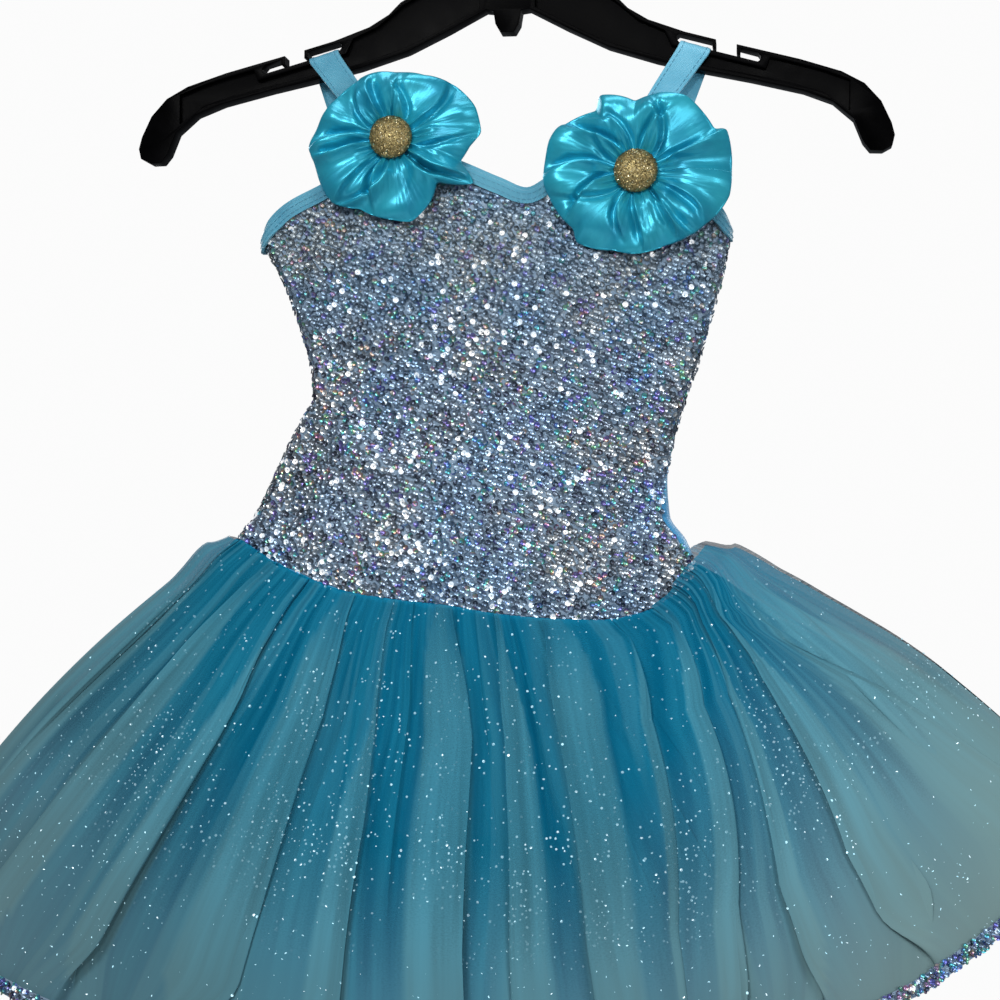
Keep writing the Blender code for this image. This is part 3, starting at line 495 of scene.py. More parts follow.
def spread_of(tree, value, low, high, to_low=0.0, to_high=1.0):
    """A value stretched from one range to another, and held inside it."""
    node = put(tree, "ShaderNodeMapRange", From_Min=low, From_Max=high, To_Min=to_low, To_Max=to_high)
    tree.links.new(value, node.inputs["Value"])
    return node.outputs["Result"]


def on_cloth(tree, scale=None):
    """The place on the flat cloth, in metres, or stretched by a scale."""
    place = tree.nodes.new("ShaderNodeUVMap")
    place.uv_map = "cloth"
    if scale is None:
        return place.outputs["UV"]
    stretch = put(tree, "ShaderNodeMapping", Scale=scale)
    tree.links.new(place.outputs["UV"], stretch.inputs["Vector"])
    return stretch.outputs["Vector"]


def in_space(tree):
    """The place in the piece's own space, in metres."""
    return tree.nodes.new("ShaderNodeTexCoord").outputs["Object"]


def parts_of(tree, vector):
    """The outputs X, Y and Z of a vector."""
    node = tree.nodes.new("ShaderNodeSeparateXYZ")
    tree.links.new(vector, node.inputs[0])
    return node.outputs


def noise(tree, place, **inputs):
    """Soft noise over a place."""
    node = put(tree, "ShaderNodeTexNoise", **inputs)
    tree.links.new(place, node.inputs["Vector"])
    return node.outputs["Fac"]


def mark_of(tree, name):
    """A number that the mesh carries."""
    node = tree.nodes.new("ShaderNodeAttribute")
    node.attribute_name = name
    return node.outputs["Fac"]


# %% The shared cloth effect
def make_rib_group():
    """Fine ribs along the cloth and soft patches across it."""
    group = bpy.data.node_groups.new("ribs_and_patches", "ShaderNodeTree")
    for name, value in (("Rib Size", 0.0006), ("Patch Size", 0.03)):
        socket = group.interface.new_socket(name=name, in_out="INPUT", socket_type="NodeSocketFloat")
        socket.default_value = value
    group.interface.new_socket(name="Height", in_out="OUTPUT", socket_type="NodeSocketFloat")
    group.interface.new_socket(name="Patches", in_out="OUTPUT", socket_type="NodeSocketFloat")
    entry = group.nodes.new("NodeGroupInput")
    leave = group.nodes.new("NodeGroupOutput")
    parts = parts_of(group, on_cloth(group))
    turns = maths(group, "DIVIDE", 2 * math.pi, entry.outputs["Rib Size"])
    ribs = maths(group, "SINE", maths(group, "MULTIPLY", parts["X"], turns))
    loops = maths(group, "SINE", maths(group, "MULTIPLY", parts["Y"], turns))
    weave = maths(group, "ADD", ribs, maths(group, "MULTIPLY", loops, 0.5))
    group.links.new(weave, leave.inputs["Height"])
    patches = put(group, "ShaderNodeTexNoise", Detail=3.0, Roughness=0.55)
    group.links.new(in_space(group), patches.inputs["Vector"])
    group.links.new(maths(group, "DIVIDE", 1.0, entry.outputs["Patch Size"]), patches.inputs["Scale"])
    group.links.new(patches.outputs["Fac"], leave.inputs["Patches"])
    return group


ribs_and_patches = make_rib_group()


def use_ribs(tree, rib_size, patch_size):
    node = tree.nodes.new("ShaderNodeGroup")
    node.node_tree = ribs_and_patches
    node.inputs["Rib Size"].default_value = rib_size
    node.inputs["Patch Size"].default_value = patch_size
    return node


def bump(tree, shader, height, distance, strength=1.0):
    node = put(tree, "ShaderNodeBump", Strength=strength, Distance=distance)
    tree.links.new(height, node.inputs["Height"])
    tree.links.new(node.outputs["Normal"], shader.inputs["Normal"])


# %% Stretch cloth, binding and backing
StretchLook = namedtuple("StretchLook", "name dark light rough rib bump")


def stretch_finish(look):
    """Smooth stretch knit: two tones of one blue mixed by patches of painted light and shade, a soft sheen
    and fine ribs.
    """
    finish, tree, shader = new_finish(look.name)
    ribs = use_ribs(tree, look.rib, 0.025)
    # Patches of painted light and shade mix the dark and the light blue.
    tone = spread_of(tree, ribs.outputs["Patches"], 0.3, 0.7)
    tree.links.new(mixed(tree, tone, look.dark, look.light), shader.inputs["Base Color"])
    tree.links.new(spread_of(tree, ribs.outputs["Patches"], 0.3, 0.7, look.rough + 0.05, look.rough - 0.05),
                   shader.inputs["Roughness"])
    shader.inputs["Sheen Weight"].default_value = 0.25
    shader.inputs["Sheen Roughness"].default_value = 0.4
    bump(tree, shader, ribs.outputs["Height"], look.bump)
    return finish


STRETCH_LOOKS = (
    StretchLook("stretch_cloth", (0.02, 0.22, 0.48), (0.06, 0.36, 0.62), 0.38, 0.0007, 3e-5),
    StretchLook("stretch_binding", (0.045, 0.24, 0.36), (0.10, 0.37, 0.50), 0.40, 0.0007, 6e-5),
    # A paler copy of the binding for the right strap: painted light, since the lamps light that strap less
    # than the left one.
    StretchLook("pale_binding", (0.10, 0.40, 0.57), (0.20, 0.56, 0.74), 0.40, 0.0007, 6e-5),
    StretchLook("thread", (0.03, 0.17, 0.27), (0.06, 0.25, 0.36), 0.5, 0.0003, 2e-5),
    StretchLook("sequin_backing", (0.14, 0.22, 0.32), (0.27, 0.38, 0.50), 0.55, 0.0008, 5e-5),
)
back_finish, band_finish, strap_painted_light_finish, thread_finish, backing_finish = map(stretch_finish, STRETCH_LOOKS)
print("finishes:", [look.name for look in STRETCH_LOOKS])

# %% [markdown]
# ## Front panel
# The front is one panel of stretch cloth with cup sequins sewn all over it. A few soft folds run across it,
# where the empty waist and hips sag. The folds are placed in a table: where each lies, which way it
# runs, how long and wide it is and how high it stands.

# %% Front panel
Fold = namedtuple("Fold", "x z turn length width height")
FRONT_FOLDS = (
    Fold(-62, -290, -12, 42, 9, 3.0), Fold(-70, -316, -34, 48, 10, 2.6), Fold(-45, -262, 16, 50, 12, 2.0),
    Fold(52, -292, 14, 38, 10, 2.6), Fold(48, -322, 48, 42, 11, 2.2), Fold(-15, -345, 70, 44, 14, 2.4),
    Fold(-92, -345, 58, 36, 11, 2.0), Fold(10, -235, 84, 40, 16, 1.8),
)
FINE_FOLDS = (
    Fold(-84, -302, -24, 18, 3.5, 1.1), Fold(-88, -290, -6, 16, 3.2, 0.9), Fold(70, -300, 22, 16, 3.5, 0.9),
    Fold(66, -335, 62, 22, 4.0, 0.9), Fold(-30, -376, 80, 18, 5.0, 0.9), Fold(20, -380, 96, 20, 5.0, 0.8),
    Fold(-60, -368, 66, 18, 4.5, 0.8), Fold(52, -380, 104, 18, 4.5, 0.8), Fold(-100, -235, 70, 22, 5.0, 0.9),
    Fold(86, -238, 104, 22, 5.0, 0.9), Fold(-10, -212, 12, 26, 6.0, 0.7), Fold(30, -262, -20, 26, 6.0, 0.7),
)
VALLEY_SHARE = 0.6
VALLEY_APART = 1.9


def folds_on(points, folds):
    """Height of soft folds, with a shallow valley beside each."""
    x, z = points[..., 0], points[..., 2]
    height = np.zeros(x.shape)
    for fold in folds:
        turn = math.radians(fold.turn)
        u = (x - fold.x) * math.cos(turn) + (z - fold.z) * math.sin(turn)
        v = -(x - fold.x) * math.sin(turn) + (z - fold.z) * math.cos(turn)
        ridge = np.exp(-(v / fold.width) ** 2)
        trough = VALLEY_SHARE * np.exp(-(v / fold.width - VALLEY_APART) ** 2)
        height += fold.height * (ridge - trough) * np.exp(-(u / fold.length) ** 2)
    return height


def soft_step(share):
    """0 below 0, 1 above 1 and a soft rise between."""
    share = np.clip(share, 0, 1)
    return share * share * (3 - 2 * share)


def calm_edges(shape, rows_share=0.05, columns_share=0.05):
    """1 inside a panel and 0 at its edges."""
    r = np.linspace(0, 1, shape[0])[:, None]
    c = np.linspace(0, 1, shape[1])[None, :]
    in_rows = np.minimum(np.minimum(r, 1 - r) / rows_share, 1)
    in_columns = np.minimum(np.minimum(c, 1 - c) / columns_share, 1)
    return soft_step(in_rows * in_columns)


front_grid = body_grid("front", 150, 130, front_top, hip_front)
front_out = outward(front_grid, "front")
front_lift = folds_on(front_grid, FRONT_FOLDS + FINE_FOLDS) * calm_edges(front_grid.shape)
front_grid = front_grid + front_out * front_lift[..., None]
front_out = outward(front_grid, "front")
CLOTH = 0.9
front_panel = add_cloth("bodice_front_cloth", front_grid, front_out, CLOTH, backing_finish)
dress(front_panel, "sequin_cloth", "bodice_front")


# %% [markdown]
# ## Sequins
# Cup sequins are shallow dishes, 3 mm across, with a hole for the thread. Thousands lie at slightly
# different tilts. Most look dark, some grey and a few flash white or in a colour of the foil. Geometry
# Nodes scatter one small dish over the panel, no two closer than a set spacing, and give each a random
# tone that the material reads. The dark to pale silver tones are partly the foil's own and partly a painted
# reflection, and the whitest flashes are painted glints that glow. Near the neckline the sequins are
# rougher, carry painted shade and have fewer painted glints.

# %% The scatter tree
FIRST_SEED = 11


def in_use(sockets, name=None):
    """The socket in use among those that a node shows for other kinds of data."""
    return next(s for s in sockets if s.enabled and name in (None, s.name))


def new_tree(name, *sockets):
    """A Geometry Nodes tree with only its sockets, and its entry and exit."""
    tree = bpy.data.node_groups.new(name, "GeometryNodeTree")
    for title, kind, value in sockets:
        socket = tree.interface.new_socket(name=title, in_out="INPUT", socket_type="NodeSocket" + kind)
        if value is not None:
            socket.default_value = value
    tree.interface.new_socket(name="Pieces", in_out="OUTPUT", socket_type="NodeSocketGeometry")
    return tree, tree.nodes.new("NodeGroupInput"), tree.nodes.new("NodeGroupOutput")


def make_scatter_tree():
    """Copies of one small mesh on a surface, apart by a spacing, each with a random tilt, size and tone."""
    tree, entry, leave = new_tree(
        "scatter", ("Surface", "Geometry", None), ("Copy", "Object", None), ("Finish", "Material", None),
        ("Spacing", "Float", 0.002), ("Density", "Float", 1e6), ("Tilt", "Float", 0.2),
        ("Smallest", "Float", 0.9), ("Largest", "Float", 1.1), ("Lift", "Float", 0.0004), ("Seed", "Int", 1),
    )
    keep = tree.nodes.new("GeometryNodeInputNamedAttribute")
    keep.data_type = "FLOAT"
    keep.inputs["Name"].default_value = "keep"
    spots = tree.nodes.new("GeometryNodeDistributePointsOnFaces")
    spots.distribute_method = "POISSON"
    source = tree.nodes.new("GeometryNodeObjectInfo")
    copies = tree.nodes.new("GeometryNodeInstanceOnPoints")
    size = tree.nodes.new("FunctionNodeRandomValue")
    tilt = tree.nodes.new("FunctionNodeRandomValue")
    tilt.data_type = "FLOAT_VECTOR"
    tilted = tree.nodes.new("GeometryNodeRotateInstances")
    lift = tree.nodes.new("FunctionNodeRandomValue")
    up = tree.nodes.new("ShaderNodeCombineXYZ")
    raised = tree.nodes.new("GeometryNodeTranslateInstances")
    tone = tree.nodes.new("FunctionNodeRandomValue")
    store = tree.nodes.new("GeometryNodeStoreNamedAttribute")
    store.data_type = "FLOAT"
    store.domain = "INSTANCE"
    store.inputs["Name"].default_value = "tone"
    solid = tree.nodes.new("GeometryNodeRealizeInstances")
    coat = tree.nodes.new("GeometryNodeSetMaterial")
    link = tree.links.new
    link(entry.outputs["Surface"], spots.inputs["Mesh"])
    link(entry.outputs["Spacing"], spots.inputs["Distance Min"])
    link(entry.outputs["Density"], spots.inputs["Density Max"])
    link(in_use(keep.outputs), spots.inputs["Density Factor"])
    link(entry.outputs["Seed"], spots.inputs["Seed"])
    link(entry.outputs["Copy"], source.inputs["Object"])
    link(spots.outputs["Points"], copies.inputs["Points"])
    link(source.outputs["Geometry"], copies.inputs["Instance"])
    link(spots.outputs["Rotation"], copies.inputs["Rotation"])
    for step, node in enumerate((size, lift, tone)):
        link(next_seed(tree, entry.outputs["Seed"], FIRST_SEED + step), node.inputs["Seed"])
    link(entry.outputs["Smallest"], in_use(size.inputs, "Min"))
    link(entry.outputs["Largest"], in_use(size.inputs, "Max"))
    link(in_use(size.outputs), copies.inputs["Scale"])
    link(entry.outputs["Tilt"], in_use(tilt.inputs, "Max"))
    link(maths(tree, "MULTIPLY", entry.outputs["Tilt"], -1.0), in_use(tilt.inputs, "Min"))
    link(in_use(tilt.outputs), tilted.inputs["Rotation"])
    link(copies.outputs["Instances"], tilted.inputs["Instances"])
    link(entry.outputs["Lift"], in_use(lift.inputs, "Max"))
    link(in_use(lift.outputs), up.inputs["Z"])
    link(tilted.outputs["Instances"], raised.inputs["Instances"])
    link(up.outputs[0], raised.inputs["Translation"])
    link(raised.outputs["Instances"], store.inputs["Geometry"])
    link(in_use(tone.outputs), store.inputs["Value"])
    link(store.outputs["Geometry"], solid.inputs["Geometry"])
    link(solid.outputs["Geometry"], coat.inputs["Geometry"])
    link(entry.outputs["Finish"], coat.inputs["Material"])
    link(coat.outputs["Geometry"], leave.inputs["Pieces"])
    return tree


def next_seed(tree, seed, step):
    """A seed moved on, so that each random draw differs."""
    node = tree.nodes.new("FunctionNodeIntegerMath")
    node.operation = "ADD"
    tree.links.new(seed, node.inputs[0])
    node.inputs[1].default_value = step
    return node.outputs[0]


scatter_tree = make_scatter_tree()


def grown(name, ground, tree, **values):
    """Run a tree on an object and keep the result as a plain mesh."""
    modifier = ground.modifiers.new("tree", "NODES")
    modifier.node_group = tree
    keys = {item.name: item.identifier for item in tree.interface.items_tree if item.in_out == "INPUT"}
    for title, value in values.items():
        modifier[keys[title]] = value
    graph = bpy.context.evaluated_depsgraph_get()
    mesh = bpy.data.meshes.new_from_object(ground.evaluated_get(graph), depsgraph=graph)
    mesh.name = name
    item = bpy.data.objects.new(name, mesh)
    scene_items.link(item)
    ground.modifiers.remove(modifier)
    return item


def scatter(name, ground, copy, finish, seed, **values):
    """Scatter copies on a ground mesh."""
    item = grown(name, ground, scatter_tree, Copy=copy, Seed=seed, Finish=finish, **values)
    item.data.shade_smooth()
    return item


# %% One cup sequin and its ground
SEQUIN_SIDES = 8
Ring = namedtuple("Ring", "reach height")
SEQUIN_RINGS = (Ring(0.3, 0.0), Ring(0.95, 0.03), Ring(1.5, 0.42))


def add_cup(name, rings, sides):
    """A shallow dish with a hole in the middle, kept out of the render and used only as a copy."""
    turn = 2 * np.pi * np.arange(sides) / sides
    points = [(r.reach * math.cos(a), r.reach * math.sin(a), r.height) for r in rings for a in turn]
    faces = []
    for r in range(len(rings) - 1):
        for k in range(sides):
            a, b = r * sides + k, r * sides + (k + 1) % sides
            faces.append((a, a + sides, b + sides, b))
    mesh = bpy.data.meshes.new(name)
    mesh.from_pydata([tuple(c * MM for c in p) for p in points], [], faces)
    mesh.shade_smooth()
    return bpy.data.objects.new(name, mesh)


def add_speck(name, reach, sides):
    """One flat face with a few corners, used as a copy for glitter."""
    turn = 2 * np.pi * np.arange(sides) / sides
    mesh = bpy.data.meshes.new(name)
    mesh.from_pydata([(reach * MM * math.cos(a), reach * MM * math.sin(a), 0.0) for a in turn], [],
                     [tuple(range(sides))])
    return bpy.data.objects.new(name, mesh)


def add_ground(name, grid, out, keep):
    """An open surface to scatter on, with a keep value for each point."""
    faces = grid_faces(*grid.shape[:2], 0, turned_out(grid, out))
    item = add_mesh(name, grid.reshape(-1, 3), faces, backing_finish)
    layer = item.data.attributes.new("keep", "FLOAT", "POINT")
    layer.data.foreach_set("value", keep.astype(np.float32).ravel())
    return item


def drop(*items):
    for item in items:
        bpy.data.objects.remove(item, do_unlink=True)


# %% Sequin finish
# Tones from dark to pale silver: partly the foil's own tone and partly a painted reflection, in place of what
# each tilted cup would mirror.
FOIL_AND_REFLECTION_TONES = (
    (0.0, (0.07, 0.08, 0.11)), (0.10, (0.13, 0.16, 0.20)), (0.25, (0.22, 0.26, 0.32)),
    (0.45, (0.31, 0.37, 0.44)), (0.68, (0.42, 0.49, 0.56)), (0.86, (0.60, 0.67, 0.73)),
)
RAINBOW_TONES = (
    (0.0, (0.20, 0.17, 0.46)), (0.38, (0.14, 0.24, 0.50)), (0.52, (0.12, 0.42, 0.42)),
    (0.66, (0.24, 0.50, 0.30)), (0.76, (0.50, 0.36, 0.28)), (0.90, (0.46, 0.24, 0.38)),
)
# Painted glints: a share of the sequins turn white and glow, more of them in clumps and fewer near the
# neckline.
GLINT_SHARES = (0.00675, 0.18)
GLINT_GLOW = 0.55
# Near the neckline: painted shade mixes the foil towards a dark teal, and the foil is rougher there.
CHEST = (-0.29, -0.21)
CHEST_SHADE_TONE = (0.10, 0.16, 0.20)
CHEST_SHADE_SHARE = 0.48
GLINT_FADE = (-0.30, -0.22)


def foil_finish(name, fewest, most):
    """Silver foil: each sequin's own tone, partly a painted reflection, cooler in some patches, a share of
    them in colours, painted glints that glow and painted shade near the neckline.
    """
    finish, tree, shader = new_finish(name)
    tone = mark_of(tree, "tone")
    foil = ramp(tree, tone, FOIL_AND_REFLECTION_TONES, constant=True)
    hue = maths(tree, "FRACT", maths(tree, "MULTIPLY", tone, 37.0))
    pick = maths(tree, "FRACT", maths(tree, "MULTIPLY", tone, 101.0))
    small = use_ribs(tree, 0.001, 0.007)
    coloured = spread_of(tree, small.outputs["Patches"], 0.46, 0.64, fewest, most)
    hue_patch = use_ribs(tree, 0.001, 0.012)
    hue = maths(tree, "FRACT", maths(tree, "ADD", maths(tree, "MULTIPLY", hue, 0.35),
                                     maths(tree, "MULTIPLY", hue_patch.outputs["Patches"], 3.0)))
    rainbow = ramp(tree, hue, RAINBOW_TONES, constant=True)
    foil = mixed(tree, maths(tree, "LESS_THAN", pick, coloured), foil, rainbow)
    ribs = use_ribs(tree, 0.001, 0.045)
    patch = spread_of(tree, ribs.outputs["Patches"], 0.40, 0.62)
    cool = mixed(tree, patch, (1.0, 0.93, 0.86), (0.70, 0.90, 1.10))
    clumps = use_ribs(tree, 0.001, 0.03)
    # Painted glints: white foil that glows, drawn where the clumps and the height allow.
    glint_chance = spread_of(tree, clumps.outputs["Patches"], 0.42, 0.66, *GLINT_SHARES)
    height = parts_of(tree, in_space(tree))["Z"]
    fewer = spread_of(tree, height, *GLINT_FADE, 1.1, 0.35)
    glint_chance = maths(tree, "MULTIPLY", glint_chance, fewer)
    spare = maths(tree, "FRACT", maths(tree, "MULTIPLY", tone, 263.0))
    painted_glint = maths(tree, "LESS_THAN", spare, glint_chance)
    foil = mixed(tree, painted_glint, foil, (1.0, 1.0, 1.0))
    tree.links.new(maths(tree, "MULTIPLY", painted_glint, GLINT_GLOW), shader.inputs["Emission Strength"])
    shader.inputs["Emission Color"].default_value = (0.95, 0.98, 1.0, 1.0)
    # Painted shade near the neckline, and a rougher foil there.
    chest = spread_of(tree, height, *CHEST)
    foil = mixed(tree, maths(tree, "MULTIPLY", chest, CHEST_SHADE_SHARE), foil, CHEST_SHADE_TONE)
    tree.links.new(mixed(tree, 1.0, foil, cool, "MULTIPLY"), shader.inputs["Base Color"])
    shader.inputs["Metallic"].default_value = 0.85
    tree.links.new(spread_of(tree, chest, 0.0, 1.0, 0.31, 0.42), shader.inputs["Roughness"])
    return finish


sequin_finish = foil_finish("foil_sequins", 0.04, 0.55)
trim_finish = foil_finish("trim_sequins", 0.45, 0.85)
sequin_cup = add_cup("sequin_cup", SEQUIN_RINGS, SEQUIN_SIDES)

# %% Sequins on the front
BAND_KEEP_OUT = 5.5


def edge_distance(grid):
    """How far each point lies below the top edge, in millimetres."""
    down = np.linalg.norm(np.diff(grid, axis=0), axis=2)
    return np.concatenate([np.zeros((1, grid.shape[1])), np.cumsum(down, axis=0)], axis=0)


below_band = edge_distance(front_grid) > BAND_KEEP_OUT
SPLIT_ROW = 66
UPPER_ROWS, LOWER_ROWS = slice(0, SPLIT_ROW + 1), slice(SPLIT_ROW, None)
for part_name, part_rows, seed in (("upper", UPPER_ROWS, 3), ("lower", LOWER_ROWS, 8)):
    ground = add_ground("ground", front_grid[part_rows], front_out[part_rows], below_band[part_rows])
    sequins = scatter("sequins_" + part_name, ground, sequin_cup, sequin_finish, seed, Spacing=2.05e-3,
                      Density=9e5, Tilt=0.34, Smallest=0.93, Largest=1.06, Lift=7e-4)
    drop(ground)
    dress(sequins, "sequin_cloth")

# %% [markdown]
# ## Back panel and brief
# The back is one piece of plain blue stretch cloth. It wraps a little way round to the front at the right
# hip. The brief below the seam is the same cloth, narrow between the legs, and only its colour shows
# through the net.

# %% Back panel
BACK_FOLDS = (
    Fold(-55, -292, 10, 46, 8, 1.8), Fold(40, -300, -14, 44, 9, 2.0), Fold(-20, -262, 4, 52, 10, 1.4),
    Fold(-60, -330, 42, 38, 8, 1.5), Fold(45, -338, -48, 36, 8, 1.6), Fold(0, -350, 84, 40, 9, 1.3),
    Fold(-84, -240, 66, 26, 6, 1.0), Fold(72, -238, -70, 26, 6, 1.1), Fold(-14, -226, 92, 24, 7, 0.9),
)
back_grid = body_grid("back", 110, 92, back_top, hip_back)
back_out = outward(back_grid, "back")
back_lift = folds_on(back_grid, BACK_FOLDS) * calm_edges(back_grid.shape, 0.06, 0.12)
back_grid = back_grid + back_out * back_lift[..., None]
back_out = outward(back_grid, "back")
back_panel = add_cloth("bodice_back_cloth", back_grid, back_out, CLOTH, back_finish)
dress(back_panel, "stretch_cloth", "bodice_back")

# %% Brief
CROTCH_Z = -508.0
CROTCH_TURN = 76.0
SIDE_SEAM_SHARE = 0.12
LEG_CURVE = 0.85
BRIEF_FOLDS = (
    Fold(-100, -392, 60, 20, 5, 1.0), Fold(50, -408, -60, 22, 5, 1.0), Fold(-24, -470, 90, 20, 5, 0.9),
    Fold(-60, -430, 35, 26, 6, 1.2), Fold(16, -436, -35, 26, 6, 1.2),
)


def brief_grid(face, columns, rows, foot):
    """Half of the brief, from the hip seam down and under to the crotch."""
    part = np.linspace(0, 1, columns)
    seam = on_body(face, part, edge_height(face, part, foot, -380))
    sign = -1.0 if face == "front" else 1.0
    middle, half = (seam[0, 0] + seam[-1, 0]) / 2, (seam[-1, 0] - seam[0, 0]) / 2
    v = np.linspace(0, 1, rows)[:, None]
    below = np.maximum(0.0, (v - SIDE_SEAM_SHARE) / (1 - SIDE_SEAM_SHARE))
    cut = np.radians(CROTCH_TURN * below ** LEG_CURVE)
    x = middle + (seam[None, :, 0] - middle) * np.cos(cut)
    z = seam[None, :, 2] - SEAM_GAP + (CROTCH_Z - seam[None, :, 2]) * np.sin(np.pi / 2 * v)
    oval = BODY[-1].depth * np.sqrt(np.maximum(0.0, 1 - ((x - middle) / half) ** 2))
    start = np.abs(seam[None, :, 1])
    depth = start + (oval - start) * np.minimum(1.0, v * 7 / 3)
    depth = SEAM_GAP / 2 + np.maximum(0.0, depth - SEAM_GAP / 2) * np.cos(np.pi / 2 * v)
    return np.stack([x, sign * depth, z], axis=2)


for face, foot in (("front", hip_front), ("back", hip_back)):
    grid = brief_grid(face, 70, 60, foot)
    out = outward(grid, face)
    grid = grid + out * (folds_on(grid, BRIEF_FOLDS) * calm_edges(grid.shape, 0.12, 0.15))[..., None]
    out = outward(grid, face)
    brief = add_cloth(f"brief_{face}_cloth", grid, out, CLOTH, back_finish)
    dress(brief, "stretch_cloth", "brief_" + face)

# %% [markdown]
# ## Binding
# A strip of stretch cloth is folded over each top edge and sewn down with two rows of stitches. Its section
# is a flat hook: the front face, a round turn over the edge and the back face. The strip follows the
# panel's own edge, so it lies on the cloth wherever the cloth goes.

# %% Binding sections
BAND_WIDTH = 7.0
BAND_WALL = 1.0
BAND_FACE = (
    (0.0, 0.35), (0.04, 1.0), (0.22, 1.5), (0.42, 1.15), (0.62, 1.45), (0.84, 1.15), (0.98, 1.35),
)
BAND_TURN = (60, 90, 120)
BAND_FOOT = 0.98
STITCH_ROWS = (0.36, 0.72)


def band_sections(grid, out, cloth, lift=0.35):
    """Sections of a folded strip along a panel's top edge."""
    edge = grid[0]
    along = np.gradient(edge, axis=0)
    along /= np.linalg.norm(along, axis=1, keepdims=True)
    normal = out[0]
    down = np.cross(along, normal)
    down *= np.where((down * (grid[4] - grid[0])).sum(axis=1, keepdims=True) < 0, -1.0, 1.0)
    down /= np.linalg.norm(down, axis=1, keepdims=True)
    level = np.array([0.0, 0.0, -1.0])
    down = 0.6 * down + 0.4 * level
    down /= np.linalg.norm(down, axis=1, keepdims=True)
    sections = []
    for e, n, d in zip(edge, normal, down):
        line = []
        for share, height in reversed(BAND_FACE):
            line.append(e + d * BAND_WIDTH * share + n * (lift + height))
        for turn in np.radians(BAND_TURN):
            centre = e - n * cloth / 2
            reach = cloth / 2 + lift + BAND_WALL
            line.append(centre + n * reach * math.cos(turn) - d * reach * math.sin(turn))
        for share, height in BAND_FACE[1:]:
            line.append(e + d * BAND_WIDTH * share - n * (cloth + lift + height))
        line.append(e + d * BAND_WIDTH * BAND_FOOT - n * (cloth + lift))
        line.append(e + d * 0.3 - n * (cloth + 0.1))
        line.append(e + d * 0.3 + n * 0.1)
        line.append(e + d * BAND_WIDTH * BAND_FOOT + n * lift)
        sections.append(line)
    return np.array(sections)


def columns_between(grid, low, high):
    """Columns of a grid whose top point lies between two x values."""
    x = grid[0, :, 0]
    return np.where((x >= low) & (x <= high))[0]


STRAP_BASES = {"left": (-66.0, -52.0), "right": (50.0, 63.0)}
BANDS = (
    ("binding_arm_left", front_grid, front_out, -200.0, STRAP_BASES["left"][0]),
    ("binding_neck", front_grid, front_out, STRAP_BASES["left"][1], STRAP_BASES["right"][0]),
    ("binding_arm_right", front_grid, front_out, STRAP_BASES["right"][1], 200.0),
    ("binding_back", back_grid, back_out, -200.0, 200.0),
)
band_lines = []
for name, grid, out, low, high in BANDS:
    chosen = columns_between(grid, low, high)
    sections = band_sections(grid[:, chosen], out[:, chosen], CLOTH)
    strip = add_strip(name + "_strip", sections, band_finish)
    dress(strip, "stretch_binding", name)
    band_lines.append((name, sections))

# %% [markdown]
# ## Straps
# Each strap is a folded strip, sewn along both edges. It starts inside the front's top edge, runs up in
# front of the hanger's arm, passes through the slot and comes down behind to the back panel.

# %% Straps
HANGER_HALF_DEPTH = 5.0
HANGER_TILT = math.radians(0.4)
SlotEnd = namedtuple("SlotEnd", "x z")
SLOT_FLOOR = (SlotEnd(85.7, -114.3), SlotEnd(100.9, -118.9))
STRAP_WALL = 1.2
STRAP_BACK_X = {"left": -70.0, "right": 64.0}
STRAP_HALF = 7.0
STRAP_INSET = 1.2
STRAP_TUCK = 3.0
STRAP_BEHIND = 0.7
FRONT_CLEAR, BACK_CLEAR = 0.62, 0.7


def tilted(x, z):
    """A place on the hanger after its small tilt."""
    return (x * math.cos(HANGER_TILT) + z * math.sin(HANGER_TILT),
            z * math.cos(HANGER_TILT) - x * math.sin(HANGER_TILT))


def strap_path(side):
    """Both edges of a strap in its middle plane, from the front panel through the slot to the back."""
    sign = -1.0 if side == "left" else 1.0
    ends = SLOT_FLOOR[::-1] if side == "left" else SLOT_FLOOR
    folds = [tilted(sign * s.x, s.z) for s in ends]
    face = HANGER_HALF_DEPTH + 0.3 + STRAP_WALL / 2
    rise = 0.3 + STRAP_WALL / 2
    front_x = np.array(STRAP_BASES[side]) + np.array([STRAP_INSET, -STRAP_INSET])
    front_part = [np.interp(x, front_grid[0, :, 0], np.arange(front_grid.shape[1])) for x in front_x]
    back_x = STRAP_BACK_X[side] + np.array([-STRAP_HALF, STRAP_HALF])
    order = np.argsort(back_grid[0, :, 0])
    rails = []
    for k in (0, 1):
        column = int(round(front_part[k]))
        start = front_grid[0, column] - front_out[0, column] * STRAP_BEHIND
        start = start + np.array([0, 0, -STRAP_TUCK])
        top_edge = back_grid[0, order]
        end = np.array([np.interp(back_x[k], top_edge[:, 0], top_edge[:, c]) for c in range(3)])
        end = end + np.array([0, -STRAP_BEHIND, -STRAP_TUCK])
        x, z = folds[k]
        top = np.array([x, 0.0, z])
        clear = start + (top - start) * FRONT_CLEAR
        back_clear = end + (top - end) * BACK_CLEAR
        line = [start, start * 0.5 + clear * 0.5, np.array([clear[0], -face, clear[2]])]
        line += [np.array([x, -face, z - 1.0])]
        for turn in np.radians([150, 120, 90, 60, 30]):
            line.append(np.array([x, math.cos(turn) * face, z + rise * math.sin(turn)]))
        line += [np.array([x, face, z - 1.0]), np.array([back_clear[0], face, back_clear[2]])]
        line += [end * 0.5 + back_clear * 0.5, end]
        rails.append(np.array(line))
    return rails


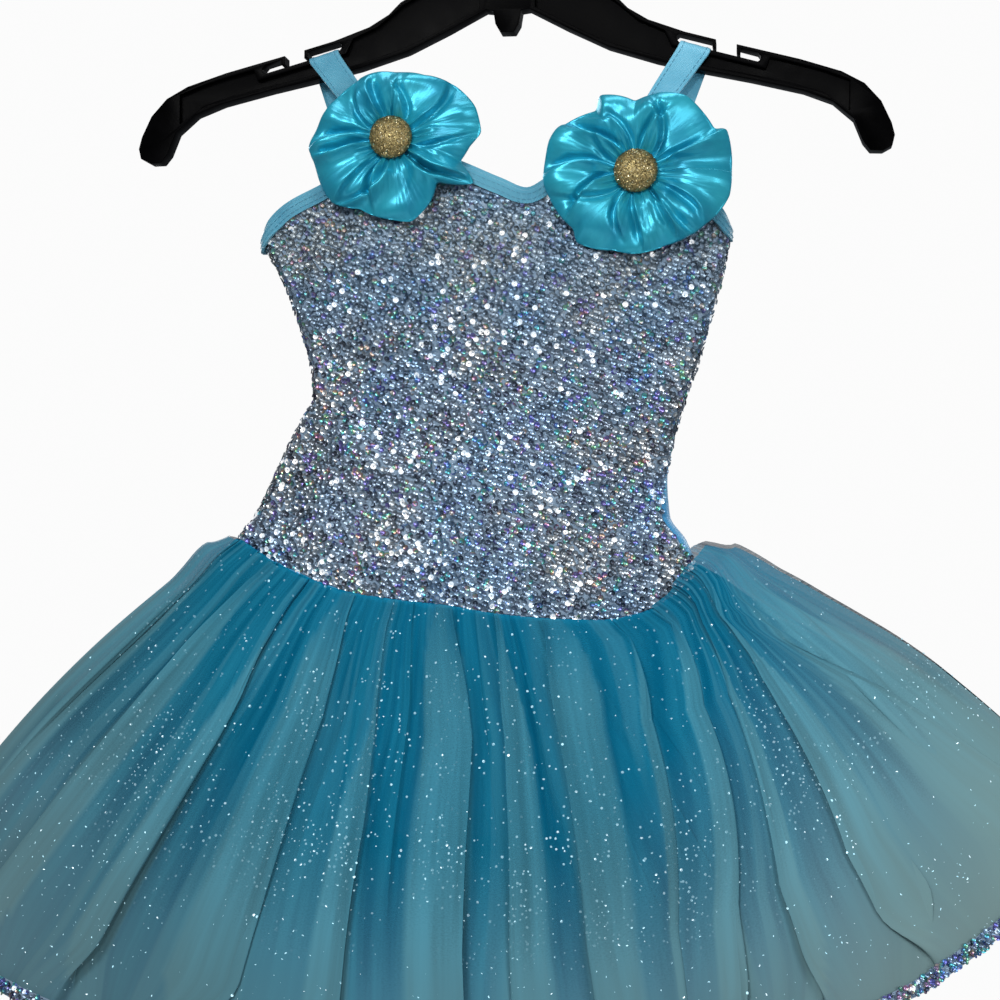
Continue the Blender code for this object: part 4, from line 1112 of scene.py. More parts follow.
def finer(line, count):
    """Points at even steps along a line, on a smooth curve through it."""
    run = np.concatenate([[0], np.cumsum(np.linalg.norm(np.diff(line, axis=0), axis=1))])
    at = np.linspace(0, run[-1], count)
    smooth = np.stack([np.interp(at, run, line[:, c]) for c in range(3)], axis=1)
    for _ in range(2):
        smooth[1:-1] = 0.25 * smooth[:-2] + 0.5 * smooth[1:-1] + 0.25 * smooth[2:]
    return smooth


def strap_out(low, high):
    """The way that a strap's front face points, all along its two edges."""
    out = np.cross(np.gradient((low + high) / 2, axis=0), high - low)
    out /= np.linalg.norm(out, axis=1, keepdims=True)
    return -out if out[5, 1] > 0 else out


STRAP_PROFILE = ((-1, -0.25), (-0.96, 0.35), (-0.8, 0.55), (-0.5, 0.42), (0, 0.5), (0.5, 0.42), (0.8, 0.55),
                 (0.96, 0.35), (1, -0.25), (0.8, -0.5), (0, -0.5), (-0.8, -0.5))
strap_rails = {}
for side in ("left", "right"):
    low, high = [finer(rail, 90) for rail in strap_path(side)]
    strap_rails[side] = (low, high)
    across, middle, out = high - low, (low + high) / 2, strap_out(low, high)
    sections = np.stack([middle + across * a / 2 + out * STRAP_WALL * b for a, b in STRAP_PROFILE], axis=1)
    # The right strap takes the binding's paler copy: painted light.
    strap = add_strip(f"strap_{side}_strip", sections, band_finish if side == "left" else strap_painted_light_finish)
    dress(strap, "stretch_binding", "strap_" + side)

# %% [markdown]
# ## Stitches
# Two rows of stitches show on every binding and along both edges of the straps. One tree lays short threads
# along a curve: it samples the curve at even steps and puts a small capsule at each.

# %% Stitches
STITCH_LENGTH = 2.0
STITCH_STEP = 2.7
STITCH_THICK = 0.34
STRAP_STITCHES = (0.14, 0.86)


def make_stitch_tree():
    """Short threads at even steps along a curve."""
    tree, entry, leave = new_tree(
        "stitches", ("Line", "Geometry", None), ("Thread", "Object", None),
        ("Step", "Float", STITCH_STEP * MM), ("Finish", "Material", None),
    )
    line = tree.nodes.new("GeometryNodeMeshToCurve")
    points = tree.nodes.new("GeometryNodeCurveToPoints")
    points.mode = "LENGTH"
    source = tree.nodes.new("GeometryNodeObjectInfo")
    copies = tree.nodes.new("GeometryNodeInstanceOnPoints")
    aim = tree.nodes.new("FunctionNodeAlignRotationToVector")
    aim.axis = "X"
    solid = tree.nodes.new("GeometryNodeRealizeInstances")
    coat = tree.nodes.new("GeometryNodeSetMaterial")
    link = tree.links.new
    link(entry.outputs["Line"], line.inputs["Mesh"])
    link(line.outputs["Curve"], points.inputs["Curve"])
    link(entry.outputs["Step"], points.inputs["Length"])
    link(points.outputs["Points"], copies.inputs["Points"])
    link(points.outputs["Tangent"], aim.inputs["Vector"])
    link(aim.outputs["Rotation"], copies.inputs["Rotation"])
    link(entry.outputs["Thread"], source.inputs["Object"])
    link(source.outputs["Geometry"], copies.inputs["Instance"])
    link(copies.outputs["Instances"], solid.inputs["Geometry"])
    link(solid.outputs["Geometry"], coat.inputs["Geometry"])
    link(entry.outputs["Finish"], coat.inputs["Material"])
    link(coat.outputs["Geometry"], leave.inputs["Pieces"])
    return tree


def add_thread():
    """One stitch: a short rounded thread along X."""
    sides = 6
    points, faces = [], []
    for x, reach in ((-1.0, 0.45), (-0.8, 1.0), (0.8, 1.0), (1.0, 0.45)):
        for k in range(sides):
            turn = 2 * math.pi * k / sides
            points.append((x * STITCH_LENGTH / 2 * MM, STITCH_THICK / 2 * reach * math.cos(turn) * MM,
                           STITCH_THICK / 2 * reach * math.sin(turn) * MM))
    for r in range(3):
        for k in range(sides):
            a, b = r * sides + k, r * sides + (k + 1) % sides
            faces.append((a, b, b + sides, a + sides))
    faces += [tuple(reversed(range(sides))), tuple(range(3 * sides, 4 * sides))]
    mesh = bpy.data.meshes.new("thread")
    mesh.from_pydata(points, [], faces)
    mesh.shade_smooth()
    item = bpy.data.objects.new("thread", mesh)
    face_outwards(mesh)
    return item


stitch_tree = make_stitch_tree()
thread = add_thread()


def sew(name, lines):
    """Rows of stitches along lines of points, as one plain mesh."""
    points = np.concatenate(lines)
    edges, start = [], 0
    for line in lines:
        edges += [(start + k, start + k + 1) for k in range(len(line) - 1)]
        start += len(line)
    mesh = bpy.data.meshes.new("stitch_lines")
    mesh.from_pydata((points * MM).tolist(), edges, [])
    guide = bpy.data.objects.new("stitch_lines", mesh)
    scene_items.link(guide)
    item = grown(name, guide, stitch_tree, Thread=thread, Step=STITCH_STEP * MM, Finish=thread_finish)
    drop(guide)
    return dress(item, "stretch_binding")


stitch_lines = []
for name, sections in band_lines:
    face_points = len(BAND_FACE)
    for share in STITCH_ROWS:
        low = int(np.searchsorted([s for s, _ in BAND_FACE], share)) - 1
        (s0, _), (s1, _) = BAND_FACE[low], BAND_FACE[low + 1]
        t = (share - s0) / (s1 - s0)
        a, b = sections[:, face_points - 1 - low], sections[:, face_points - 2 - low]
        stitch_lines.append(a + (b - a) * t + 0.12 * (a - sections[:, -1]) / 2)
for low, high in strap_rails.values():
    for share in STRAP_STITCHES:
        stitch_lines.append(low + (high - low) * share + strap_out(low, high) * (STRAP_WALL * 0.55))
sew("stitches", stitch_lines)

# %% [markdown]
# ## Rosettes
# Each rosette is a strip of turquoise satin, gathered along one edge and drawn up into a round. The gathers
# leave the middle as sharp ridges and open out to soft, uneven lobes at the rim. The ridges are listed one by
# one, and the rim follows the outline of each flower, so the two differ.

# %% Rosette sizes
Ridge = namedtuple("Ridge", "turn bend width height reach")
Rim = namedtuple("Rim", "turn reach")
Flower = namedtuple("Flower", "side x y z lean rim ridges")
LEFT_RIM = (
    Rim(4, 42.5), Rim(20, 42.5), Rim(40, 39.4), Rim(63, 33.8), Rim(88, 32.1), Rim(113, 33.8), Rim(156, 35.3),
    Rim(185, 40.6), Rim(195, 39.3), Rim(212, 40.3), Rim(226, 41.7), Rim(244, 36.4), Rim(271, 38.5),
    Rim(283, 40.5), Rim(302, 35.7), Rim(316, 30.6), Rim(331, 45.1), Rim(341, 34.5), Rim(354, 37.7),
)
RIGHT_RIM = (
    Rim(1, 44.3), Rim(25, 46.2), Rim(29, 41.6), Rim(57, 42.5), Rim(74, 39.0), Rim(91, 33.6), Rim(115, 41.2),
    Rim(122, 35.7), Rim(150, 43.2), Rim(159, 43.9), Rim(186, 43.6), Rim(204, 41.2), Rim(222, 39.3),
    Rim(229, 42.8), Rim(253, 37.7), Rim(266, 38.1), Rim(291, 37.0), Rim(322, 40.9), Rim(335, 43.1),
    Rim(345, 44.9),
)
LEFT_RIDGES = (
    Ridge(10, -6, 3.6, 2.6, 0.55), Ridge(30, 10, 4.4, 4.6, 0.98), Ridge(52, 30, 3.4, 3.8, 0.8),
    Ridge(74, 8, 3.0, 3.2, 0.7), Ridge(97, -8, 3.6, 4.2, 0.95), Ridge(122, -10, 3.2, 3.8, 0.9),
    Ridge(148, -16, 3.8, 4.8, 1.0), Ridge(176, 6, 3.4, 4.0, 1.0), Ridge(196, -4, 3.2, 4.2, 1.0),
    Ridge(216, 10, 3.4, 4.6, 1.0), Ridge(250, 4, 4.0, 4.4, 0.9), Ridge(282, -34, 3.2, 4.8, 1.0),
    Ridge(300, 14, 3.0, 3.6, 0.9), Ridge(322, 8, 3.0, 4.4, 1.0), Ridge(342, 14, 3.4, 4.0, 0.95),
)
RIGHT_RIDGES = (
    Ridge(8, 14, 3.8, 4.6, 1.0), Ridge(24, -8, 3.2, 3.4, 0.6), Ridge(46, 22, 3.8, 4.6, 0.95),
    Ridge(70, -6, 3.2, 4.0, 0.8), Ridge(96, 26, 4.0, 4.4, 0.9), Ridge(128, 10, 3.8, 4.8, 1.0),
    Ridge(150, -18, 3.2, 3.6, 0.7), Ridge(168, 8, 3.4, 4.4, 1.0), Ridge(190, 14, 3.2, 4.2, 0.9),
    Ridge(214, -12, 3.8, 4.6, 0.95), Ridge(240, 18, 3.4, 3.8, 0.8), Ridge(268, 4, 3.6, 4.8, 1.0),
    Ridge(294, 12, 3.4, 4.6, 1.0), Ridge(318, -10, 3.8, 4.4, 0.9), Ridge(342, -14, 3.4, 4.8, 1.0),
)
FLOWERS = (
    Flower("left", -56.5, -18.4, -161.3, -4.0, LEFT_RIM, LEFT_RIDGES),
    Flower("right", 64.3, -19.2, -180.8, -4.0, RIGHT_RIM, RIGHT_RIDGES),
)
FLOWER_TURNS = 400
FLOWER_RINGS = 48
FLOWER_DEPTH = 4.5
GATHERS = 26
RIM_SCALE = 1.04
CENTRE_SHARE = 0.24
MEAN_REACH = 0.03
RIDGE_STRENGTHS = (1.45, 0.75, 1.2, 1.6, 0.6)


# %% Satin finish
CREASE_SCALE = (240.0, 40.0, 1.0)


def satin_finish():
    """Satin: strong soft highlights in the cloth's own colour."""
    finish, tree, shader = new_finish("satin")
    ribs = use_ribs(tree, 0.0005, 0.02)
    # Patches of painted light and shade mix a darker and a paler teal.
    tone = spread_of(tree, ribs.outputs["Patches"], 0.3, 0.7)
    colour = mixed(tree, tone, (0.005, 0.27, 0.42), (0.025, 0.43, 0.56))
    tree.links.new(colour, shader.inputs["Base Color"])
    shader.inputs["Metallic"].default_value = 0.45
    shader.inputs["Roughness"].default_value = 0.37
    shader.inputs["Specular IOR Level"].default_value = 1.0
    shader.inputs["Specular Tint"].default_value = (0.70, 0.95, 1.0, 1.0)
    creases = noise(tree, on_cloth(tree, CREASE_SCALE), Scale=1.0, Detail=2.0, Roughness=0.5)
    bump(tree, shader, creases, 1.6e-3, 0.5)
    return finish


satin = satin_finish()


# %% Rosettes
def around(rows, turns):
    """The rim's reach at each turn, straight from row to row with softened corners."""
    at = np.array([row.turn for row in rows], float)
    reach = np.array([row.reach for row in rows], float)
    order = np.argsort(at)
    at, reach = at[order], reach[order]
    at = np.concatenate([at - 360, at, at + 360])
    value = np.interp(np.degrees(turns) % 360, at, np.tile(reach, 3))
    for _ in range(3):
        value = 0.25 * np.roll(value, 1) + 0.5 * value + 0.25 * np.roll(value, -1)
    return value


def flower_height(flower, reach, turns, share):
    """How far the satin stands out at each place: a soft dome, sharp ridges and fine gathers."""
    from_button = soft_step((share - CENTRE_SHARE + 0.04) / 0.3)
    dome = 4.2 * from_button * (1 - 0.8 * np.clip((share - 0.5) / 0.5, 0, 1) ** 2)
    height = dome * (0.78 + 0.22 * np.cos(3 * turns + 1.3))
    for k, ridge in enumerate(flower.ridges):
        strong = RIDGE_STRENGTHS[k % 5]
        line = np.radians(ridge.turn + 1.6 * ridge.bend * share ** 1.5 + 4 * np.sin(4.5 * share + 2.1 * k))
        off = ((turns - line + np.pi) % (2 * np.pi) - np.pi) * reach * (1 if k % 3 else -1)
        gentle, steep = ridge.width * (0.35 + 1.5 * share), 0.5 + 0.7 * share
        rise = (0.2 + 0.8 * from_button) * soft_step((ridge.reach + 0.12 - share) / 0.42)
        side = np.where(off > 0, np.exp(-np.abs(off / gentle) ** 1.3), np.exp(-(off / steep) ** 2))
        height += 1.1 * strong * ridge.height * rise * side
        height -= 0.6 * strong * ridge.height * rise * np.exp(-((off + 2.6 * steep) / (2.0 * steep)) ** 2)
    fine = np.exp(-((share - 0.3) / 0.14) ** 2)
    height += 1.3 * fine * (0.6 - np.abs(np.sin(GATHERS / 2 * turns + 2.0 * np.sin(3 * turns))) ** 0.7)
    soft = 2.0 * np.clip((share - 0.45) / 0.4, 0, 1)
    height += soft * np.cos(7 * turns + 3.0 * np.sin(2 * turns) + 2.0 * share)
    height += 0.8 * from_button * np.sin(11.0 * share + 5 * turns + 2.0 * np.sin(2 * turns + 3.0 * share))
    height -= 2.8 * np.clip((share - 0.8) / 0.2, 0, 1) ** 2
    return height


def add_flower(flower):
    """A closed, gathered round of satin: a modelled front over a flatter back."""
    turns = np.linspace(0, 2 * np.pi, FLOWER_TURNS, endpoint=False)[None, :]
    share = (np.linspace(0.0, 1.0, FLOWER_RINGS) ** 0.9)[1:, None]
    rim = around(flower.rim, turns) * RIM_SCALE
    reach = rim * share
    turns_all, share_all = np.broadcast_arrays(turns, share)
    rise = flower_height(flower, reach, turns_all, share_all)
    lean = np.array(Matrix.Rotation(math.radians(flower.lean), 3, "X"))
    centre = np.array([flower.x, flower.y, flower.z])

    def placed(out):
        flat = np.stack([reach * np.cos(turns), -out, reach * np.sin(turns)], axis=2)
        return centre + flat @ lean.T

    front = placed(rise)
    back = placed(np.minimum(rise - 1.0, 0.0) * 0.35 - FLOWER_DEPTH * (1 - 0.55 * share ** 2))
    rings, count = reach.shape
    points = np.concatenate([front.reshape(-1, 3), back.reshape(-1, 3), centre[None] + [[0, -0.4, 0]],
                             centre[None] + [[0, FLOWER_DEPTH, 0]]])
    r, c = np.meshgrid(np.arange(rings - 1), np.arange(count), indexing="ij")
    a, b = (r * count + c).ravel(), (r * count + (c + 1) % count).ravel()
    faces = np.stack([a, a + count, b + count, b], axis=1)
    shift = rings * count
    faces = np.concatenate([faces, faces[:, ::-1] + shift])
    k = np.arange(count)
    n = (k + 1) % count
    last = (rings - 1) * count
    edge = np.stack([last + k, last + k + shift, last + n + shift, last + n], axis=1)
    faces = np.concatenate([faces, edge]).tolist()
    faces += [(2 * shift, int(i), int(j)) for i, j in zip(k, n)]
    faces += [(2 * shift + 1, int(j) + shift, int(i) + shift) for i, j in zip(k, n)]
    flat_uv = np.stack([turns_all * MEAN_REACH, reach * MM], axis=2).reshape(-1, 2)
    uv = np.concatenate([flat_uv, flat_uv, [[0, 0], [0, 0]]])
    item = add_mesh(f"flower_{flower.side}_satin", points, faces, satin, uv)
    face_outwards(item.data)
    dress(item, "satin", "flower_" + flower.side)
    return item


for flower in FLOWERS:
    add_flower(flower)

# %% [markdown]
# ## Buttons
# A glitter-covered dome sits in the middle of each rosette. The dome is turned from a short profile, and
# the scatter tree covers it with small flat flakes that lie at all angles.

# %% Buttons
Dome = namedtuple("Dome", "height reach")
BUTTON_DOME = (
    Dome(0.0, 9.2), Dome(0.3, 10.3), Dome(0.9, 10.6), Dome(1.8, 10.35), Dome(2.8, 9.5), Dome(3.7, 8.0),
    Dome(4.5, 5.8), Dome(5.0, 3.2), Dome(5.2, 0.9),
)
BUTTON_BASE = 1.9
BUTTON_SIDES = 48


def glitter_finish(name, tones, rough, metal):
    finish, tree, shader = new_finish(name)
    tree.links.new(ramp(tree, mark_of(tree, "tone"), tones, constant=True), shader.inputs["Base Color"])
    shader.inputs["Metallic"].default_value = metal
    shader.inputs["Roughness"].default_value = rough
    return finish


def gold_base_finish():
    finish, tree, shader = new_finish("gold_base")
    grain = noise(tree, in_space(tree), Scale=900.0, Detail=3.0)
    colour = ramp(tree, grain, ((0.35, (0.16, 0.12, 0.045)), (0.65, (0.36, 0.28, 0.11))))
    tree.links.new(colour, shader.inputs["Base Color"])
    shader.inputs["Metallic"].default_value = 0.6
    shader.inputs["Roughness"].default_value = 0.45
    bump(tree, shader, grain, 2e-4)
    return finish


gold_base = gold_base_finish()
gold_flakes = glitter_finish("gold_flakes", (
    (0.0, (0.18, 0.13, 0.05)), (0.35, (0.25, 0.20, 0.09)), (0.68, (0.32, 0.27, 0.13)),
    (0.92, (0.8, 0.72, 0.48)),
), 0.34, 0.8)
flake = add_speck("flake", 0.34, 5)


def add_button(flower):
    lean = np.array(Matrix.Rotation(math.radians(flower.lean), 3, "X"))
    centre = np.array([flower.x, flower.y, flower.z])
    turn = np.linspace(0, 2 * np.pi, BUTTON_SIDES, endpoint=False)
    rings = [np.stack([d.reach * np.cos(turn), np.full(BUTTON_SIDES, -BUTTON_BASE - d.height),
                       d.reach * np.sin(turn)], axis=1) @ lean.T + centre for d in BUTTON_DOME]
    dome = add_strip(f"button_{flower.side}_dome", rings, gold_base)
    dress(dome, "glitter_button", "button_" + flower.side)
    ground = dome.copy()
    ground.data = dome.data.copy()
    scene_items.link(ground)
    keep = ground.data.attributes.new("keep", "FLOAT", "POINT")
    keep.data.foreach_set("value", np.ones(len(ground.data.vertices), np.float32))
    seed = 21 if flower.side == "left" else 34
    flakes = scatter(f"button_{flower.side}_glitter", ground, flake, gold_flakes, seed, Spacing=4.6e-4,
                     Density=2e7, Tilt=0.7, Smallest=0.6, Largest=1.2, Lift=3e-4)
    drop(ground)
    dress(flakes, "glitter_button")


for flower in FLOWERS:
    add_button(flower)

# %% [markdown]
# ## Net skirt
# Fine net is gathered tightly at the hip seam and springs out below it. Its folds are knife folds: the
# cloth leans over sideways and covers itself, and where three plies lie together the net looks paler and
# has a crisp edge. Each fold is one period of a wave across the net, pushed outwards and sideways in step,
# so a leaning wave laps over without ever crossing itself. The sizes and leans differ from fold to fold. At
# both sides the net stands up above its straight fall, by heights from two tables.

# %% Skirt sizes
Hem = namedtuple("Hem", "x z")
HEM_FRONT = (
    Hem(-320, -541), Hem(-296, -556), Hem(-251, -573), Hem(-150, -600), Hem(-16, -620), Hem(100, -604),
    Hem(186, -567), Hem(225, -543), Hem(265, -512), Hem(288, -491),
)
HEM_DEPTH = 95.0
SKIRT_PUFF = 15.0
SKIRT_LENGTH = 250.0
TRIM_WIDTH = 7.0
Layer = namedtuple("Layer", "name length pleats wave_top wave_hem lift sink stand steps rows seed")
OUTER = Layer("outer", 1.0, 14, 0.07, 0.09, 5.2, 0.0, 1.0, 52, 60, 5)
INNER = Layer("inner", 0.82, 20, 0.06, 0.16, 1.6, 12.0, 0.2, 16, 44, 9)
Rise = namedtuple("Rise", "down height")
RIGHT_RISE = (
    Rise(0.0, 14.5), Rise(0.02, 15.6), Rise(0.05, 15.7), Rise(0.12, 15.0), Rise(0.2, 13.1), Rise(0.27, 11.0),
    Rise(0.35, 9.4), Rise(0.43, 8.3), Rise(0.52, 6.7), Rise(0.62, 4.2), Rise(0.78, 1.3), Rise(1.0, 0.0),
)
LEFT_RISE = (
    Rise(0.0, 1.5), Rise(0.03, 3.4), Rise(0.07, 4.8), Rise(0.12, 3.2), Rise(0.2, 1.9), Rise(0.35, 1.2),
    Rise(0.5, 0.6), Rise(0.7, 0.0), Rise(1.0, 0.0),
)
SIDE_REACH = 0.12
SIDE_CALM = 0.05
SEAM_TURN = 0.06
right_rise, left_rise = curve(RIGHT_RISE, "down", "height"), curve(LEFT_RISE, "down", "height")
Pleat = namedtuple("Pleat", "top middle low lap side size start")
FRONT_PLEATS = (
    Pleat(0.045, 0.05, 0.05, 0.36, 1, 0.9, 0.0), Pleat(0.12, 0.125, 0.13, 0.42, -1, 1.0, -0.05),
    Pleat(0.205, 0.215, 0.21, 0.34, 1, 0.9, 0.1), Pleat(0.30, 0.318, 0.302, 0.54, 1, 1.0, -0.1),
    Pleat(0.385, 0.40, 0.405, 0.38, 1, 0.9, 0.2), Pleat(0.49, 0.503, 0.48, 0.55, 1, 1.1, -0.1),
    Pleat(0.595, 0.595, 0.56, 0.44, -1, 1.0, 0.0), Pleat(0.675, 0.648, 0.625, 0.56, -1, 1.1, -0.1),
    Pleat(0.84, 0.765, 0.675, 0.30, 1, 0.8, 0.0), Pleat(0.905, 0.81, 0.715, 0.46, 1, 1.0, -0.05),
    Pleat(0.94, 0.863, 0.765, 0.34, -1, 0.8, 0.1), Pleat(0.966, 0.92, 0.845, 0.48, -1, 1.0, 0.1),
    Pleat(0.985, 0.97, 0.925, 0.44, 1, 0.9, 0.2),
)
PLEAT_HEIGHTS = (0.0, 0.07, 0.28, 0.7, 1.0)
DEEPEST_FOLD = 3.6
SEAM_GATHERS = 70
hem_height = curve(HEM_FRONT, "x", "z")


def hem_line(share):
    """Points of the front hem at shares of its length, from the left side to the right."""
    left, right = HEM_FRONT[0].x, HEM_FRONT[-1].x
    turn = np.linspace(0, np.pi, 481)
    x = (left + right) / 2 - (right - left) / 2 * np.cos(turn)
    line = np.stack([x, -HEM_DEPTH * np.sin(turn), hem_height(x)], axis=1)
    run = np.concatenate([[0], np.cumsum(np.linalg.norm(np.diff(line, axis=0), axis=1))])
    return np.stack([np.interp(share * run[-1], run, line[:, c]) for c in range(3)], axis=1)


def level_out(line, sign):
    """Level outward directions of a line that runs from the left side to the right."""
    run = np.gradient(line, axis=0)
    out = np.stack([-sign * run[:, 1], sign * run[:, 0], 0 * run[:, 0]], axis=1)
    out /= np.linalg.norm(out, axis=1, keepdims=True)
    out[0], out[-1] = (-1, 0, 0), (1, 0, 0)
    return out


def soft_steps(values, place, knots):
    """Smooth values between knots that lie at given places."""
    i = np.clip(np.searchsorted(knots, place, side="right") - 1, 0, len(knots) - 2)
    t = soft_step((place - knots[i]) / (knots[i + 1] - knots[i]))
    return values[i] * (1 - t) + values[i + 1] * t


def pleats_of(layer, face):
    """The pleats of half a layer: listed one by one on the outer front, and drawn at random elsewhere."""
    if layer.name == "outer" and face == "front":
        return FRONT_PLEATS
    random = np.random.default_rng(layer.seed + (0 if face == "front" else 100))
    widths = random.uniform(0.5, 1.6, layer.pleats)
    edges = np.concatenate([[0], np.cumsum(widths)]) / widths.sum()
    rows = []
    for centre in (edges[:-1] + edges[1:]) / 2:
        drift = random.uniform(-0.25, 0.25) / layer.pleats
        rows.append(Pleat(centre, centre + 0.4 * drift, centre + drift, random.uniform(0.25, 0.52),
                          random.choice((-1, 1)), random.uniform(0.7, 1.2), random.uniform(-0.1, 0.25)))
    return rows


def places_of(rows, g, steps):
    """Where the columns of each row lie across the net, so that every pleat keeps its own columns."""
    top, middle, low = (np.array([getattr(row, key) for row in rows]) for key in ("top", "middle", "low"))
    centres = np.stack([top, top, middle, low, low + 0.4 * (low - middle)])
    between = (centres[:, 1:] + centres[:, :-1]) / 2
    knots = np.concatenate([np.zeros((5, 1)), between, np.ones((5, 1))], axis=1)
    count = len(rows)
    moved = np.stack([np.interp(g, PLEAT_HEIGHTS, knots[:, k]) for k in range(count + 1)], axis=1)
    turn = np.linspace(0, count, count * steps + 1)
    pleat = np.clip(np.floor(turn), 0, count - 1).astype(int)
    place = np.stack([np.interp(turn, np.arange(count + 1), row) for row in moved])
    return place, turn, pleat, np.diff(moved, axis=1)[:, pleat]


def pleat_folds(layer, rows, g, turn, pleat, width):
    """Outward and sideways moves of the knife pleats, and where three plies lie together."""
    laps, sides, sizes, starts = (np.array([getattr(row, key) for row in rows], float)[pleat]
                                  for key in ("lap", "side", "size", "start"))
    count = len(rows)
    part = turn - pleat
    own = np.array([row.side for row in rows], float)
    before, after = own[np.maximum(pleat - 1, 0)], own[np.minimum(pleat + 1, count - 1)]
    low_end, high_end = soft_step(part / 0.12), soft_step((1 - part) / 0.12)
    side = sides + (before - sides) / 2 * (1 - low_end) + (after - sides) / 2 * (1 - high_end)
    opened = (0.55 + 0.45 * soft_step((g - starts) / 0.3)) * (1 - 0.65 * soft_step((g - 0.82) / 0.16))
    swing = np.sin(2 * np.pi * part)
    deep = width * (layer.wave_top + (layer.wave_hem - layer.wave_top) * g) * sizes
    deep = DEEPEST_FOLD * np.tanh(deep / DEEPEST_FOLD)
    fine = np.sin(2 * np.pi * (SEAM_GATHERS // count) * turn + 1.7 * np.sin(2 * np.pi * turn))
    gathers = 1.1 * np.exp(-g / 0.10) * np.minimum(1, g / 0.01 + 0.3) * fine
    ripples = 0.9 * soft_step((g - 0.06) / 0.2) * np.sin(2 * np.pi * 3 * turn + 2.0 * np.sin(4.0 * g + turn))
    random = np.random.default_rng(layer.seed + 200)
    drift = random.uniform(-1.0, 1.0, (2, count + 1))
    knots = np.arange(count + 1.0)
    slow, quick = (soft_steps(values, turn, knots) for values in drift)
    sway = slow * np.sin(5.0 * g) + quick * np.sin(9.0 * g)
    lap = laps * opened
    turned = np.arccos(-1 / (2 * np.pi * np.maximum(lap, 0.1592)))
    half = np.abs(turned / (2 * np.pi) + lap * np.sin(turned) - 0.5)
    inside = half - np.abs(part + lap * swing - 0.5)
    lapped = soft_step(inside / 0.03 + 0.5) * soft_step((lap - 0.17) / 0.03)
    lapped *= 0.35 + 0.65 * soft_step((g - 0.02) / 0.2)
    return deep * side * swing + gathers + ripples, lap * width * swing + 3.0 * g * sway, lapped


FINE_PLACES = np.linspace(0, 1, 801)


def net_grid(face, layer, down):
    """Grid of half a net layer at the given shares of its length, with its folds."""
    sign = -1.0 if face == "front" else 1.0
    hip = hip_front if face == "front" else hip_back
    seam = on_body("front", FINE_PLACES, edge_height("front", FINE_PLACES, hip, -380))
    foot = hem_line(FINE_PLACES)
    seam[:, 1], foot[:, 1] = sign * np.abs(seam[:, 1]), sign * np.abs(foot[:, 1])
    seam[:, 2] -= SEAM_GAP
    rows = pleats_of(layer, face)
    place, turn, pleat, share = places_of(rows, down * layer.length, layer.steps)
    seam_out, hem_out = level_out(seam, sign), level_out(foot, sign)
    seam, foot, seam_out, hem_out = (
        np.stack([np.interp(place, FINE_PLACES, line[:, c]) for c in range(3)], axis=2)
        for line in (seam, foot, seam_out, hem_out))
    f = (down * layer.length)[:, None, None]
    g = f[..., 0]
    fall = foot - seam
    flat = seam_out * (1 - f) + hem_out * f
    flat /= np.linalg.norm(flat, axis=2, keepdims=True)
    steep = fall / np.linalg.norm(fall, axis=2, keepdims=True)
    slope = steep * np.minimum(1.0, f / SEAM_TURN)
    out = flat - slope * (flat * slope).sum(axis=2, keepdims=True)
    out /= np.linalg.norm(out, axis=2, keepdims=True)
    up = flat - steep * (flat * steep).sum(axis=2, keepdims=True)
    up /= np.linalg.norm(up, axis=2, keepdims=True)
    base = seam * (1 - f) + foot * f
    row_length = np.linalg.norm(np.diff(base, axis=1), axis=2).sum(axis=1)[:, None]
    along = np.gradient(base, axis=1)
    along /= np.linalg.norm(along, axis=2, keepdims=True)
    calm = np.minimum(1.0, np.minimum(place, 1 - place) / SIDE_CALM)
    swing, sideways, lapped = pleat_folds(layer, rows, g, turn, pleat, row_length * share)
    wide = 5.0 * g ** 2 * np.sin(2 * np.pi * 3.3 * place + 1.1 * sign)
    puff = SKIRT_PUFF * 4 * g * (1 - g)
    at_right = soft_step((place - 1 + SIDE_REACH) / SIDE_REACH)
    at_left = soft_step((SIDE_REACH - place) / SIDE_REACH)
    at_side = np.maximum(at_right, at_left)
    lift = layer.lift * (1 - at_side * np.minimum(1.0, g / 0.15)) - layer.sink * np.minimum(1.0, g / 0.2)
    rise = layer.stand * (at_right * right_rise(g) + at_left * left_rise(g))
    level = soft_step(f / 0.12)
    up = up * level + np.array([0.0, 0.0, 1.0]) * (1 - level)
    up /= np.linalg.norm(up, axis=2, keepdims=True)
    grid = base + out * (lift + puff + (swing + wide) * calm)[..., None]
    grid = grid + along * (sideways * calm)[..., None] + up * rise[..., None]
    grid[..., 1] = sign * np.maximum(sign * grid[..., 1], SEAM_GAP / 2)
    return grid, lapped


def down_steps(rows):
    """Rows packed near the seam, where the gathers are fine."""
    return np.linspace(0, 1, rows) ** 1.35


hem_steps = np.diff(hem_line(np.linspace(0, 1, 200)), axis=0)
print("hem, front half:", round(float(np.linalg.norm(hem_steps, axis=1).sum())), "mm")

# %% [markdown]
# Net is half air. In the material the air is Alpha: the ply in front lets the plies and the brief behind it
# show. Threads run down the cloth, so streaks that are long down the net and narrow across it vary both the
# colour and the cover, and thin crisp strips stand for small creases. A mark on the mesh says where three
# plies lie together. The net is denser at the sides and near the hem, and painted shade darkens it at the
# left and low down, where less light falls.
# The outer ply is paler, because its threads catch the light, and the inner one is deep and dark.

# %% Net finish
NetLook = namedtuple("NetLook", "name deep pale lapped edge cover cover_swing side_cover")
OUTER_NET = NetLook("net_outer", (0.0, 0.13, 0.245), (0.012, 0.205, 0.33), (0.05, 0.24, 0.335),
                    (0.19, 0.29, 0.28), 0.44, 0.16, 0.30)
INNER_NET = NetLook("net_inner", (0.0, 0.12, 0.24), (0.0, 0.21, 0.37), (0.01, 0.22, 0.36),
                    (0.10, 0.22, 0.25), 0.92, 0.06, 0.06)
